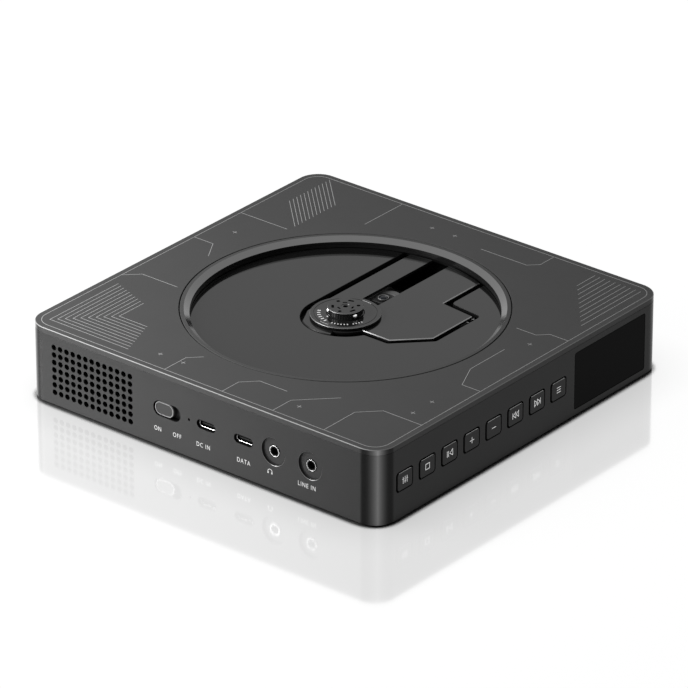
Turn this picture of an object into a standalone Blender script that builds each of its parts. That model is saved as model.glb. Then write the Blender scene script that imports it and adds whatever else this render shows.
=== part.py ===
"""Top-loading CD player: a flat square case with an open disc well.

Metres, +Z up. The origin is the centre of the footprint, on the surface that
the player stands on. The keys and the display are on the -Y wall, the speaker
and the sockets on the -X wall, and the spindle stands at the origin.
"""

import bmesh
import bpy
from math import acos, asin, cos, pi, radians, sin, sqrt
from mathutils import Matrix, Vector

# Clearances
FIT_GAP = 0.0003  # between pieces that seat on each other
SEAM_GAP = 0.0002  # shut line between the top cover and the side housing
KEY_GAP = 0.00035  # all round a key in its opening
RUN_GAP = 0.0004  # round a piece that slides or turns
CUT_OVERRUN = 0.001  # how far a cutter runs past the face it opens
STAKE_REACH = 0.0008  # how far a melted-over pin stands past what it holds
WELD_DISTANCE = 0.000001
MERGE_DISTANCE = 0.00001
STADIUM_SLACK = 0.00004  # flat left at the round end of a stadium

# Facets
CORNER_SEGMENTS = 5
SMALL_SEGMENTS = 2
WELL_STEPS = 64
TURNED_STEPS = 28
SMALL_STEPS = 10
GRILLE_SIDES = 6
PIN_SIDES = 8
ARC_POINTS = 9

# Case
CASE_SIDE = 0.184
CASE_HEIGHT = 0.034
CASE_CORNER = 0.0097
CASE_WALL = 0.0025
FOOT_PROUD = 0.0006
COVER_BAND = 0.0025
COVER_THICKNESS = 0.002
COVER_CHAMFER = 0.0003
LIP_THICKNESS = 0.0012
LIP_DEPTH = 0.0012
PLATE_THICKNESS = 0.002
LEDGE_WIDTH = 0.0015
LEDGE_THICKNESS = 0.0015

# Case posts, their screws and the pins that are melted over what they hold
POST_INSET = 0.0095  # post axis in from the outer walls
POST_RADIUS = 0.0032
PIN_RADIUS = 0.0012
SCREW_RADIUS = 0.0012
SCREW_LENGTH = 0.008
SCREW_HEAD_RADIUS = 0.0023
SCREW_HEAD_THICKNESS = 0.0009

# Feet
FOOT_RADIUS = 0.006
FOOT_INSET = 0.021
FOOT_SEAT_DEPTH = 0.0008
FOOT_CHAMFER = 0.0001

# Disc well, for a disc 120 mm across
DISC_RADIUS = 0.060
DISC_CLEARANCE = 0.0033
WELL_DEPTH = 0.0047
CONE_WIDTH = 0.0023
CONE_DEPTH = 0.0019
RIM_WIDTH = 0.0016
RIM_GAP = 0.0005
FLANGE_WIDTH = 0.0023
FLOOR_THICKNESS = 0.0015
FLOOR_MARGIN = 0.0035  # floor edge beyond the ring's flange
EAR_RADIUS = 0.0045
EAR_REACH = 0.0035  # ear axis beyond the floor's edge

# Deck cover, seen from above, measured from the spindle axis
DECK_THICKNESS = 0.0012
DECK_RISE = 0.0003  # top face above the well floor
DECK_GAP = 0.0024  # open line between the deck cover and the floor
DECK_LEFT = 0.0060
DECK_FRONT = 0.0402
DECK_CUT = 0.0126
DECK_STEP_X = 0.0320
DECK_STEP_LEAN = 0.0019
DECK_STEP_FRONT = 0.0237
DECK_BACK = 0.0152
DECK_ARC = 0.0182
DECK_ARC_START = radians(144)
DECK_ARC_END = radians(225)
DECK_WAIST = 0.0150
DECK_END_GAP = 0.0007
DECK_HOLE = 0.0046
DECK_EDGE = 0.0005
SLOT_MARGIN = 0.0029
SLOT_WIDTH = 0.0089
DECK_BOSS_RADIUS = 0.0022
DECK_BOSS_INSET = 0.0044
DECK_END_BOSS = 0.0540

# Turntable, hub and clamp balls
SHAFT_RADIUS = 0.001
TURNTABLE_RADIUS = 0.0146
TURNTABLE_TOP_DROP = 0.0030  # below the case top
TURNTABLE_THICKNESS = 0.0011
TURNTABLE_BOSS = 0.0040
TURNTABLE_BOSS_LENGTH = 0.0023
TURNTABLE_CHAMFER = 0.0002
GROOVE_RADIUS = 0.0128
GROOVE_WIDTH = 0.0002
GROOVE_DEPTH = 0.00015
HUB_RADIUS = 0.00735
HUB_NECK_INSET = 0.0004
HUB_SEAT_DEPTH = 0.0008
CAP_THICKNESS = 0.0005
CAP_TOP_DROP = 0.00005
CAP_CHAMFER = 0.00015
CAP_MARK_DEPTH = 0.0002
CAP_MARK_RING = 0.0054
CAP_SLOT_LENGTH = 0.0019
CAP_SLOT_WIDTH = 0.0007
CAP_DOT_RADIUS = 0.0005
CAP_CENTRE_RADIUS = 0.0016
BALL_COUNT = 3
BALL_START = radians(13)
BALL_RADIUS = 0.0011
BALL_PROUD = 0.0004
BALL_TRAVEL = 0.0005
BALL_SIDE_GAP = 0.00015

# Floating mechanism, hung from the well floor
CHASSIS_DROP = 0.0019  # chassis top below the floor's underside
CHASSIS_THICKNESS = 0.0016
CHASSIS_LEFT = 0.020
CHASSIS_OVERHANG = 0.0036
CHASSIS_HALF_DEPTH = 0.024
WINDOW_HALF_WIDTH = 0.0164
FLAP_FRONT = 0.038
TAB_THICKNESS = 0.0012
TAB_LENGTH = 0.0135
DAMPER_RADIUS = 0.0038
DAMPER_NECK = 0.0024
DAMPER_COLLAR = 0.0010
DAMPER_PIN_HEAD = 0.0022
DAMPER_EAR = 0.0055
DAMPER_LEFT_X = -0.0145
DAMPER_LEFT_MARGIN = 0.0038  # damper axis beyond the deck cover's back edge
DAMPER_RIGHT_X = 0.0580
DAMPER_RIGHT_MARGIN = 0.0024  # damper axis beyond the floor's opening

# Spindle motor
MOTOR_RADIUS = 0.011
MOTOR_HEIGHT = 0.0096
MOTOR_BOSS_RADIUS = 0.0032
MOTOR_BOSS_GAP = 0.0004

# Pickup sled, its rods and its drive
LENS_REST_X = 0.0244
SLED_TRAVEL_IN = 0.0020
SLED_TRAVEL_OUT = 0.0340
SLED_END_GAP = 0.0008
SLED_FRONT_LENGTH = 0.0160  # beyond the lens
SLED_BACK_LENGTH = 0.0060  # short of the lens
SLED_HALF_WIDTH = 0.0155
SLED_HEIGHT = 0.0076
SLED_ARM_WIDTH = 0.0070
SLED_ARM_HEIGHT = 0.0060
ROD_RADIUS = 0.0015
ROD_SPREAD = 0.0190
ROD_DROP = 0.0041  # rod axis below the chassis
ROD_END = 0.0005
SCREW_AXIS_Y = 0.0280
SCREW_AXIS_DROP = 0.0071
LEADSCREW_RADIUS = 0.00125
LEADSCREW_LEAD = 0.0040
LEADSCREW_THREAD = 0.0004
LEADSCREW_SIDES = 6
LEADSCREW_RINGS_PER_TURN = 6
NUT_LENGTH = 0.0080
NUT_HALF_HEIGHT = 0.0028
NUT_REACH = 0.0029
GEAR_MODULE = 0.0005
GEAR_TEETH = 24
PINION_TEETH = 10
GEAR_THICKNESS = 0.0025
GEAR_OFFSET = 0.0010
GEAR_TIP_SHARE = 0.8  # tooth above and below the pitch circle, in modules
GEAR_ROOT_SHARE = 1.2
GEAR_FLANK_SHARE = 0.36  # half a tooth at its root, in pitches
GEAR_CREST_SHARE = 0.12
SLED_MOTOR_RADIUS = 0.0050
SLED_MOTOR_LENGTH = 0.0220
SLED_MOTOR_SHAFT = 0.00075

# Laser actuator on the sled
YOKE_LENGTH = 0.0140
YOKE_WIDTH = 0.0080
YOKE_HEIGHT = 0.0017
YOKE_WALL = 0.0014
HOLDER_LENGTH = 0.0080
HOLDER_WIDTH = 0.0072
HOLDER_HEIGHT = 0.0012
HOLDER_STEM = 0.0030
LENS_RADIUS = 0.0021
LENS_RING = 0.0004
LENS_THICKNESS = 0.0009
LENS_DOME = 0.0004
FOCUS_TRAVEL = 0.0004

# Main board and what stands on it
PORT_LEVEL_SHARE = 0.5147059  # port centres, in case heights
PORT_BOARD_DROP = 0.0030  # board top below the port centres
BOARD_THICKNESS = 0.0016
BOARD_WALL_GAP = 0.0010
BOARD_WIDTH = 0.0400
BOARD_FRONT = -0.0720
BOARD_BACK = 0.0310
STANDOFF_RADIUS = 0.0026
STANDOFF_INSET = 0.0040
CHIP_HEIGHT = 0.0012
CHIP_SPOTS = ((0.0235, -0.0450, 0.0100), (0.0305, -0.0200, 0.0070), (0.0285, 0.0080, 0.0080))
CAPACITOR_RADIUS = 0.0025
CAPACITOR_HEIGHT = 0.0060
CAPACITOR_SPOTS = ((0.0165, 0.0150), (0.0165, -0.0130), (0.0325, -0.0600), (0.0205, -0.0620))

# Sockets on the -X wall
JACK_YS = (-0.0385, -0.0573)
JACK_DISH_RADIUS = 0.0060
JACK_DISH_DEPTH = 0.0010
JACK_NOSE_RADIUS = 0.00252
JACK_NOSE_PROUD = 0.00025
JACK_BORE = 0.0018
JACK_BORE_DEPTH = 0.0140
JACK_BODY_LENGTH = 0.0140
JACK_BODY_WIDTH = 0.0064
SOCKET_YS = (-0.0039, -0.0232)
SOCKET_WIDTH = 0.0095
SOCKET_HEIGHT = 0.00375
SOCKET_EDGE_GAP = 0.00025
SOCKET_SHELL = 0.00035
SOCKET_RECESS = 0.0008
SOCKET_LENGTH = 0.0080
SOCKET_TONGUE = 0.0007
SOCKET_TONGUE_WIDTH = 0.0066
SOCKET_LEG = 0.0008

# Power switch
SWITCH_SLOT_Y = 0.0166
SWITCH_SLOT_LENGTH = 0.0140
SWITCH_SLOT_HEIGHT = 0.0065
SWITCH_EDGE_GAP = 0.0004
SWITCH_TRAVEL = 0.0034
THUMB_RECESS = 0.0003
THUMB_FLANGE = 0.0010
THUMB_FLANGE_MARGIN = 0.0008
THUMB_STEM_LENGTH = 0.0024
THUMB_STEM_HEIGHT = 0.0016
THUMB_STEM_REACH = 0.0026
SWITCH_BODY_STANDOFF = 0.0012
SWITCH_BODY_DEPTH = 0.0050
SWITCH_BODY_MARGIN = 0.0020
LED_Y = 0.0050
LED_HOLE_RADIUS = 0.00045
LED_SIZE = 0.0016
LED_RISE = 0.0010

# Speaker behind the grille
GRILLE_COLUMNS = 13
GRILLE_ROWS = 7
GRILLE_PITCH = 0.00338
GRILLE_HOLE_RADIUS = 0.00118
GRILLE_END_INSET = 0.03575  # grille centre in from the +Y wall
GRILLE_LEVEL_SHARE = 0.4867647
SPEAKER_LENGTH = 0.0454
SPEAKER_DEPTH = 0.0080
SPEAKER_RIM = 0.0012
SPEAKER_BACK_RADIUS = 0.0090
SPEAKER_BACK_WALL = 0.0012
CONE_THICKNESS = 0.0005
MAGNET_RADIUS = 0.0075
MAGNET_DEPTH = 0.0060

# Keys on the -Y wall
KEY_NAMES = (
    "equaliser_key",
    "stop_key",
    "play_pause_key",
    "volume_up_key",
    "volume_down_key",
    "next_key",
    "previous_key",
    "menu_key",
)
KEY_WIDTH = 0.00905
KEY_HEIGHT = 0.00775
KEY_CORNER = 0.0012
KEY_LEVEL_SHARE = 0.4897059  # key centres, in case heights
KEY_END_INSET = 0.0163  # first key's centre in from the -X wall
KEY_TO_DISPLAY = 0.0104  # last key's centre to the display
KEY_RECESS = 0.0002
KEY_FLANGE = 0.0008
KEY_FLANGE_THICKNESS = 0.0009
KEY_STEM = 0.0030
KEY_STEM_LENGTH = 0.0012
KEY_TRAVEL = 0.0005
KEY_END_GAP = 0.0001
TACT_PLUNGER_RADIUS = 0.0012
TACT_PLUNGER_LENGTH = 0.0008
TACT_SIZE = 0.0045
TACT_HEIGHT = 0.0015
KEY_BOARD_THICKNESS = 0.0012
KEY_BOARD_MARGIN = 0.0032
KEY_POST_RADIUS = 0.0020
KEY_POST_SHARE = 0.2529412  # post axis above and below the keys, in case heights

# Display
DISPLAY_END_INSET = 0.0120
DISPLAY_LENGTH = 0.0470
DISPLAY_BOTTOM_INSET = 0.0027
DISPLAY_TOP_INSET = 0.0025
DISPLAY_GAP = 0.00015
DISPLAY_CORNER = 0.0010
DISPLAY_GLASS = 0.0012
DISPLAY_RECESS = 0.0001
DISPLAY_LEDGE = 0.0020
DISPLAY_MODULE_DEPTH = 0.0026

# Battery
BATTERY_BOARD_GAP = 0.0135  # to the main board's edge
BATTERY_WIDTH = 0.056
BATTERY_TAB_GAP = 0.0009  # under the chassis tabs
BATTERY_Y = 0.036
BATTERY_CORNER = 0.0020
LEAD_RADIUS = 0.0011
LEAD_Y = 0.0200
LEAD_INSET = 0.0060
LEAD_POINTS = 14

# Levels and places that follow from the sizes
half_side = CASE_SIDE / 2
inner_wall = half_side - CASE_WALL
cover_bottom = CASE_HEIGHT - COVER_BAND
cover_underside = CASE_HEIGHT - COVER_THICKNESS
housing_top = cover_bottom - SEAM_GAP
lip_bottom = housing_top - LIP_DEPTH
plate_top = FOOT_PROUD + PLATE_THICKNESS
ledge_bottom = plate_top + FIT_GAP
ledge_top = ledge_bottom + LEDGE_THICKNESS
post_place = half_side - POST_INSET
well_radius = DISC_RADIUS + DISC_CLEARANCE
cone_radius = well_radius + CONE_WIDTH
rim_radius = cone_radius + RIM_WIDTH
flange_radius = rim_radius + FLANGE_WIDTH
floor_radius = flange_radius + FLOOR_MARGIN
ear_ring = floor_radius + EAR_REACH
floor_top = CASE_HEIGHT - WELL_DEPTH
floor_bottom = floor_top - FLOOR_THICKNESS
deck_top = floor_top + DECK_RISE
deck_bottom = deck_top - DECK_THICKNESS
turntable_top = CASE_HEIGHT - TURNTABLE_TOP_DROP
turntable_bottom = turntable_top - TURNTABLE_THICKNESS
turntable_boss_bottom = turntable_bottom - TURNTABLE_BOSS_LENGTH
cap_top = CASE_HEIGHT - CAP_TOP_DROP
cap_bottom = cap_top - CAP_THICKNESS
hub_top = cap_bottom - FIT_GAP
hub_bottom = turntable_top - HUB_SEAT_DEPTH + FIT_GAP
shaft_bore = SHAFT_RADIUS + FIT_GAP
chassis_top = floor_bottom - CHASSIS_DROP
chassis_bottom = chassis_top - CHASSIS_THICKNESS
tab_bottom = chassis_bottom - TAB_LENGTH
grommet_top = floor_bottom - FIT_GAP
grommet_bottom = chassis_bottom - FIT_GAP - DAMPER_COLLAR
motor_top = chassis_bottom - FIT_GAP
motor_bottom = motor_top - MOTOR_HEIGHT
rod_height = chassis_bottom - ROD_DROP
right_damper_y = DECK_STEP_FRONT + DECK_GAP + DAMPER_RIGHT_MARGIN
sled_low_x = LENS_REST_X - SLED_BACK_LENGTH
sled_high_x = LENS_REST_X + SLED_FRONT_LENGTH
left_tab_x = MOTOR_RADIUS + SLED_END_GAP
right_tab_x = sled_high_x + SLED_TRAVEL_OUT + SLED_END_GAP
chassis_right = right_tab_x + TAB_THICKNESS + CHASSIS_OVERHANG
window_start = sled_low_x - SLED_TRAVEL_IN - 2 * SLED_END_GAP
window_end = right_tab_x - TAB_THICKNESS
slot_start = LENS_REST_X - SLED_TRAVEL_IN - HOLDER_LENGTH / 2 - SLOT_MARGIN
screw_height = chassis_bottom - SCREW_AXIS_DROP
port_level = CASE_HEIGHT * PORT_LEVEL_SHARE
key_level = CASE_HEIGHT * KEY_LEVEL_SHARE
key_post_rise = CASE_HEIGHT * KEY_POST_SHARE
grille_level = CASE_HEIGHT * GRILLE_LEVEL_SHARE
board_left = -inner_wall + BOARD_WALL_GAP
board_right = board_left + BOARD_WIDTH
board_top = port_level - PORT_BOARD_DROP
board_bottom = board_top - BOARD_THICKNESS
wall_back = -inner_wall + FIT_GAP
part_floor = board_top + FIT_GAP
battery_left = board_right + BATTERY_BOARD_GAP
battery_bottom = plate_top + FIT_GAP
battery_top = tab_bottom - BATTERY_TAB_GAP
display_left = half_side - DISPLAY_END_INSET - DISPLAY_LENGTH
display_bottom = FOOT_PROUD + DISPLAY_BOTTOM_INSET
display_top = housing_top - DISPLAY_TOP_INSET
first_key_x = -half_side + KEY_END_INSET
last_key_x = display_left - KEY_TO_DISPLAY
key_pitch = (last_key_x - first_key_x) / (len(KEY_NAMES) - 1)
grille_y = half_side - GRILLE_END_INSET


def new_collection(name):
    group = bpy.data.collections.new(name)
    bpy.context.scene.collection.children.link(group)
    return group


for old_object in list(bpy.data.objects):
    bpy.data.objects.remove(old_object, do_unlink=True)
PARTS = new_collection("cd_player")
CUTTERS = new_collection("cutters")

# Colour, roughness and metallic value of each finish
FINISHES = {
    "black_plastic": ((0.020, 0.020, 0.021), 0.32, 0.0),
    "soft_black": ((0.012, 0.012, 0.012), 0.55, 0.0),
    "rubber": ((0.015, 0.015, 0.015), 0.85, 0.0),
    "polished_metal": ((0.55, 0.55, 0.56), 0.16, 1.0),
    "steel": ((0.48, 0.48, 0.47), 0.35, 1.0),
    "zinc": ((0.60, 0.60, 0.57), 0.40, 1.0),
    "white_nylon": ((0.70, 0.69, 0.64), 0.45, 0.0),
    "board": ((0.015, 0.090, 0.045), 0.50, 0.0),
    "chip": ((0.016, 0.016, 0.018), 0.45, 0.0),
    "lens_glass": ((0.16, 0.20, 0.32), 0.03, 0.0),
    "window": ((0.006, 0.006, 0.007), 0.05, 0.0),
    "battery_wrap": ((0.030, 0.075, 0.180), 0.40, 0.0),
    "paper": ((0.035, 0.033, 0.030), 0.90, 0.0),
}


def set_material(item, finish):
    colour, roughness, metallic = FINISHES[finish]
    material = bpy.data.materials.new(item.name)
    material.use_nodes = True
    shader = material.node_tree.nodes["Principled BSDF"]
    shader.inputs["Base Color"].default_value = (*colour, 1.0)
    shader.inputs["Roughness"].default_value = roughness
    shader.inputs["Metallic"].default_value = metallic
    item.data.materials.clear()
    item.data.materials.append(material)


def add_object(name, mesh):
    item = bpy.data.objects.new(name, mesh)
    PARTS.objects.link(item)
    return item


def object_from(shape, name):
    mesh = bpy.data.meshes.new(name)
    shape.to_mesh(mesh)
    shape.free()
    return add_object(name, mesh)


def finish_object(item, finish, smooth_angle=radians(35)):
    item.data.shade_smooth()
    item.data.set_sharp_from_angle(angle=smooth_angle)
    set_material(item, finish)
    return item


def baked(item, name):
    """The item's mesh with its modifiers applied; the item is removed."""
    bpy.context.view_layer.update()
    evaluated = item.evaluated_get(bpy.context.evaluated_depsgraph_get())
    mesh = bpy.data.meshes.new_from_object(evaluated)
    mesh.name = name
    mesh.transform(item.matrix_world)
    bpy.data.objects.remove(item, do_unlink=True)
    return mesh


def set_origin(item, point):
    """Moves the object's origin to a world point and leaves its shape there."""
    item.data.transform(Matrix.Translation(-Vector(point)))
    item.location = point


def combine(target, other, operation):
    """Adds or cuts with another object, which becomes a guide."""
    PARTS.objects.unlink(other)
    CUTTERS.objects.link(other)
    other.hide_render = True
    other.display_type = "WIRE"
    modifier = target.modifiers.new(operation.lower() + " " + other.name, "BOOLEAN")
    modifier.operation = operation
    modifier.solver = "EXACT"
    modifier.object = other


def cut(target, other):
    combine(target, other, "DIFFERENCE")


def unite(target, other):
    combine(target, other, "UNION")


def add_box(shape, low, high):
    """Adds a box between two opposite corners and returns its vertices."""
    low = Vector(low)
    high = Vector(high)
    size = high - low
    place = Matrix.Translation((low + high) / 2) @ Matrix.Diagonal((*size, 1.0))
    return bmesh.ops.create_cube(shape, size=1.0, matrix=place)["verts"]


def add_rod(shape, start, end, radius, sides, end_radius=None):
    """Adds a capped cylinder or cone between two points."""
    start = Vector(start)
    end = Vector(end)
    along = end - start
    turn = Vector((0, 0, 1)).rotation_difference(along).to_matrix().to_4x4()
    place = Matrix.Translation((start + end) / 2) @ turn
    return bmesh.ops.create_cone(
        shape,
        cap_ends=True,
        cap_tris=False,
        segments=sides,
        radius1=radius,
        radius2=radius if end_radius is None else end_radius,
        depth=along.length,
        matrix=place,
    )["verts"]


def box(name, low, high):
    shape = bmesh.new()
    add_box(shape, low, high)
    return object_from(shape, name)


def rod(name, start, end, radius, sides=SMALL_STEPS):
    shape = bmesh.new()
    add_rod(shape, start, end, radius, sides)
    return object_from(shape, name)


def round_edges(shape, corner, axis, segments):
    """Rounds the edges that run along one axis."""
    chosen = []
    for edge in shape.edges:
        run = (edge.verts[1].co - edge.verts[0].co).normalized()
        if abs(run[axis]) > cos(radians(1)):
            chosen.append(edge)
    bmesh.ops.bevel(
        shape,
        geom=chosen,
        offset=corner,
        offset_type="OFFSET",
        segments=segments,
        profile=0.5,
        affect="EDGES",
        clamp_overlap=True,
    )


def rounded_box(name, low, high, corner, axis=2, segments=CORNER_SEGMENTS):
    shape = bmesh.new()
    add_box(shape, low, high)
    round_edges(shape, corner, axis, segments)
    return object_from(shape, name)


def square_slab(name, side, corner, bottom, top):
    """A square plate with rounded corners, centred on the origin."""
    half = side / 2
    return rounded_box(name, (-half, -half, bottom), (half, half, top), corner)


def arc(radius, start, end, count=ARC_POINTS, centre=(0.0, 0.0)):
    """Points along an arc, from one angle to another."""
    points = []
    for index in range(count + 1):
        angle = start + (end - start) * index / count
        points.append((centre[0] + radius * cos(angle), centre[1] + radius * sin(angle)))
    return points


def outline_slab(name, points, bottom, top):
    """A flat outline with a thickness, made from a filled 2D curve."""
    curve = bpy.data.curves.new(name, "CURVE")
    curve.dimensions = "2D"
    curve.fill_mode = "BOTH"
    curve.extrude = (top - bottom) / 2
    spline = curve.splines.new("POLY")
    spline.points.add(len(points) - 1)
    for index, (x, y) in enumerate(points):
        spline.points[index].co = (x, y, 0.0, 1.0)
    spline.use_cyclic_u = True
    drawn = add_object(name, curve)
    drawn.location.z = (top + bottom) / 2
    mesh = baked(drawn, name)
    shape = bmesh.new()
    shape.from_mesh(mesh)
    bmesh.ops.remove_doubles(shape, verts=shape.verts[:], dist=WELD_DISTANCE)
    bmesh.ops.dissolve_limit(
        shape, angle_limit=radians(0.2), verts=shape.verts[:], edges=shape.edges[:]
    )
    bmesh.ops.recalc_face_normals(shape, faces=shape.faces[:])
    shape.to_mesh(mesh)
    shape.free()
    mesh.materials.clear()
    return add_object(name, mesh)


def chamfer_top(item, width):
    """Chamfers the edges round the top face."""
    shape = bmesh.new()
    shape.from_mesh(item.data)
    top = max(vertex.co.z for vertex in shape.verts)
    rim = []
    for edge in shape.edges:
        if all(vertex.co.z > top - width / 2 for vertex in edge.verts):
            rim.append(edge)
    bmesh.ops.bevel(shape, geom=rim, offset=width, segments=1, profile=0.5, affect="EDGES")
    shape.to_mesh(item.data)
    shape.free()


def turned(name, profile, steps=TURNED_STEPS, closed=True):
    """A profile of (radius, height) points turned about Z by a Screw modifier."""
    shape = bmesh.new()
    row = [shape.verts.new((radius, 0.0, height)) for radius, height in profile]
    for first, second in zip(row, row[1:]):
        shape.edges.new((first, second))
    if closed:
        shape.edges.new((row[-1], row[0]))
    item = object_from(shape, name)
    screw = item.modifiers.new("turn", "SCREW")
    screw.axis = "Z"
    screw.steps = steps
    screw.render_steps = steps
    screw.use_merge_vertices = True
    screw.merge_threshold = MERGE_DISTANCE
    screw.use_smooth_shade = True
    return item


def add_copies(name, mesh, places):
    """One object for each place, each with its own copy of the mesh."""
    copies = []
    for index, place in enumerate(places):
        item = add_object("%s_%d" % (name, index + 1), mesh.copy())
        item.location = place
        copies.append(item)
    return copies


def screw_mesh(length):
    """A pan-head screw that points up, its head's top face at the origin."""
    shoulder = SCREW_HEAD_THICKNESS
    profile = [
        (0.0, length + shoulder),
        (SCREW_RADIUS, length + shoulder),
        (SCREW_RADIUS, shoulder),
        (SCREW_HEAD_RADIUS, shoulder),
        (SCREW_HEAD_RADIUS, 0.0),
        (0.0, 0.0),
    ]
    return baked(turned("screw", profile, SMALL_STEPS, closed=False), "screw")


def ring_places(radius, height, start, count):
    places = []
    for index in range(count):
        angle = start + 2 * pi * index / count
        places.append(Vector((radius * cos(angle), radius * sin(angle), height)))
    return places


def corner_places(reach, height):
    return [Vector((x * reach, y * reach, height)) for x in (-1, 1) for y in (-1, 1)]


def ear_places(height):
    return ring_places(ear_ring, height, radians(45), 4)


def make_top_cover():
    """The lid: a plate with a short skirt, an inner lip, four posts and four pins."""
    cover = square_slab("top_cover", CASE_SIDE, CASE_CORNER, cover_bottom, CASE_HEIGHT)
    chamfer_top(cover, COVER_CHAMFER)
    lip_side = 2 * (inner_wall - FIT_GAP)
    lip_corner = CASE_CORNER - CASE_WALL - FIT_GAP
    overlap = COVER_THICKNESS / 4
    lip = square_slab("cover_lip", lip_side, lip_corner, lip_bottom, cover_underside + overlap)
    unite(cover, lip)
    pocket_side = lip_side - 2 * LIP_THICKNESS
    pocket_corner = lip_corner - LIP_THICKNESS
    pocket = square_slab(
        "cover_pocket", pocket_side, pocket_corner, lip_bottom - CUT_OVERRUN, cover_underside
    )
    cut(cover, pocket)
    posts = bmesh.new()
    for place in corner_places(post_place, plate_top + FIT_GAP):
        top = Vector((place.x, place.y, cover_underside + overlap))
        add_rod(posts, place, top, POST_RADIUS, SMALL_STEPS)
    for place in ear_places(floor_top + FIT_GAP):
        top = Vector((place.x, place.y, cover_underside + overlap))
        add_rod(posts, place, top, POST_RADIUS, SMALL_STEPS)
    unite(cover, object_from(posts, "cover_posts"))
    well = rod(
        "cover_well",
        (0, 0, lip_bottom - CUT_OVERRUN),
        (0, 0, CASE_HEIGHT + CUT_OVERRUN),
        rim_radius + RIM_GAP,
        WELL_STEPS,
    )
    cut(cover, well)
    pins = bmesh.new()
    for place in ear_places(floor_bottom - STAKE_REACH):
        top = Vector((place.x, place.y, cover_underside))
        add_rod(pins, place, top, PIN_RADIUS, PIN_SIDES)
    unite(cover, object_from(pins, "floor_pins"))
    pilots = bmesh.new()
    for place in corner_places(post_place, plate_top - CUT_OVERRUN):
        top = Vector((place.x, place.y, plate_top + SCREW_LENGTH))
        add_rod(pilots, place, top, SCREW_RADIUS + FIT_GAP, PIN_SIDES)
    cut(cover, object_from(pilots, "cover_pilots"))
    return finish_object(cover, "black_plastic")


def make_grille_cutter():
    holes = bmesh.new()
    for column in range(GRILLE_COLUMNS):
        y = grille_y + (column - (GRILLE_COLUMNS - 1) / 2) * GRILLE_PITCH
        for row in range(GRILLE_ROWS):
            z = grille_level + (row - (GRILLE_ROWS - 1) / 2) * GRILLE_PITCH
            outside = (-half_side - CUT_OVERRUN, y, z)
            inside = (-inner_wall + CUT_OVERRUN, y, z)
            add_rod(holes, outside, inside, GRILLE_HOLE_RADIUS, GRILLE_SIDES)
    return object_from(holes, "grille_holes")


def stadium(name, low, high, axis):
    """A box whose ends are round in the plane across the axis."""
    height = high[2] - low[2]
    return rounded_box(name, low, high, height / 2 - STADIUM_SLACK, axis, 2 * SMALL_SEGMENTS)


def cut_ports(housing):
    """Opens the -X wall for the switch, the lamp, the sockets and the jacks."""
    outside = -half_side - CUT_OVERRUN
    inside = -inner_wall + CUT_OVERRUN
    half_height = SWITCH_SLOT_HEIGHT / 2
    half_length = SWITCH_SLOT_LENGTH / 2
    slot = stadium(
        "switch_slot",
        (outside, SWITCH_SLOT_Y - half_length, port_level - half_height),
        (inside, SWITCH_SLOT_Y + half_length, port_level + half_height),
        0,
    )
    cut(housing, slot)
    for index, y in enumerate(SOCKET_YS):
        socket_hole = stadium(
            "socket_hole_%d" % (index + 1),
            (outside, y - SOCKET_WIDTH / 2, port_level - SOCKET_HEIGHT / 2),
            (inside, y + SOCKET_WIDTH / 2, port_level + SOCKET_HEIGHT / 2),
            0,
        )
        cut(housing, socket_hole)
    dishes = bmesh.new()
    holes = bmesh.new()
    for y in JACK_YS:
        dish_floor = (-half_side + JACK_DISH_DEPTH, y, port_level)
        add_rod(dishes, (outside, y, port_level), dish_floor, JACK_DISH_RADIUS, 2 * SMALL_STEPS)
        through = (inside, y, port_level)
        hole_radius = JACK_NOSE_RADIUS + FIT_GAP
        add_rod(holes, (outside, y, port_level), through, hole_radius, 2 * SMALL_STEPS)
    pinhole_end = (inside, LED_Y, port_level)
    add_rod(holes, (outside, LED_Y, port_level), pinhole_end, LED_HOLE_RADIUS, GRILLE_SIDES)
    cut(housing, object_from(dishes, "jack_dishes"))
    cut(housing, object_from(holes, "jack_holes"))
    cut(housing, make_grille_cutter())


def key_xs():
    return [first_key_x + index * key_pitch for index in range(len(KEY_NAMES))]


def key_post_places(y):
    low_x = first_key_x + key_pitch / 2
    high_x = last_key_x - key_pitch / 2
    places = []
    for x in (low_x, high_x):
        for rise in (-key_post_rise, key_post_rise):
            places.append(Vector((x, y, key_level + rise)))
    return places


# Depths behind the -Y wall, from the wall inwards
key_flange_front = -inner_wall + FIT_GAP
key_flange_back = key_flange_front + KEY_FLANGE_THICKNESS
key_stem_back = key_flange_back + KEY_STEM_LENGTH
plunger_front = key_stem_back + KEY_TRAVEL + KEY_END_GAP
tact_front = plunger_front + TACT_PLUNGER_LENGTH
key_board_front = tact_front + TACT_HEIGHT
key_board_back = key_board_front + KEY_BOARD_THICKNESS


def cut_keys_and_display(housing):
    """Opens the -Y wall for the keys and steps it for the display glass."""
    outside = -half_side - CUT_OVERRUN
    inside = -inner_wall + CUT_OVERRUN
    half_width = KEY_WIDTH / 2 + KEY_GAP
    half_height = KEY_HEIGHT / 2 + KEY_GAP
    for name, x in zip(KEY_NAMES, key_xs()):
        hole = rounded_box(
            name + "_hole",
            (x - half_width, outside, key_level - half_height),
            (x + half_width, inside, key_level + half_height),
            KEY_CORNER + KEY_GAP,
            1,
            SMALL_SEGMENTS,
        )
        cut(housing, hole)
    seat = DISPLAY_GLASS + DISPLAY_RECESS + FIT_GAP
    pocket = rounded_box(
        "display_pocket",
        (display_left, outside, display_bottom),
        (display_left + DISPLAY_LENGTH, -half_side + seat, display_top),
        DISPLAY_CORNER,
        1,
        SMALL_SEGMENTS,
    )
    cut(housing, pocket)
    opening = box(
        "display_opening",
        (display_left + DISPLAY_LEDGE, outside, display_bottom + DISPLAY_LEDGE),
        (display_left + DISPLAY_LENGTH - DISPLAY_LEDGE, inside, display_top - DISPLAY_LEDGE),
    )
    cut(housing, opening)


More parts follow.
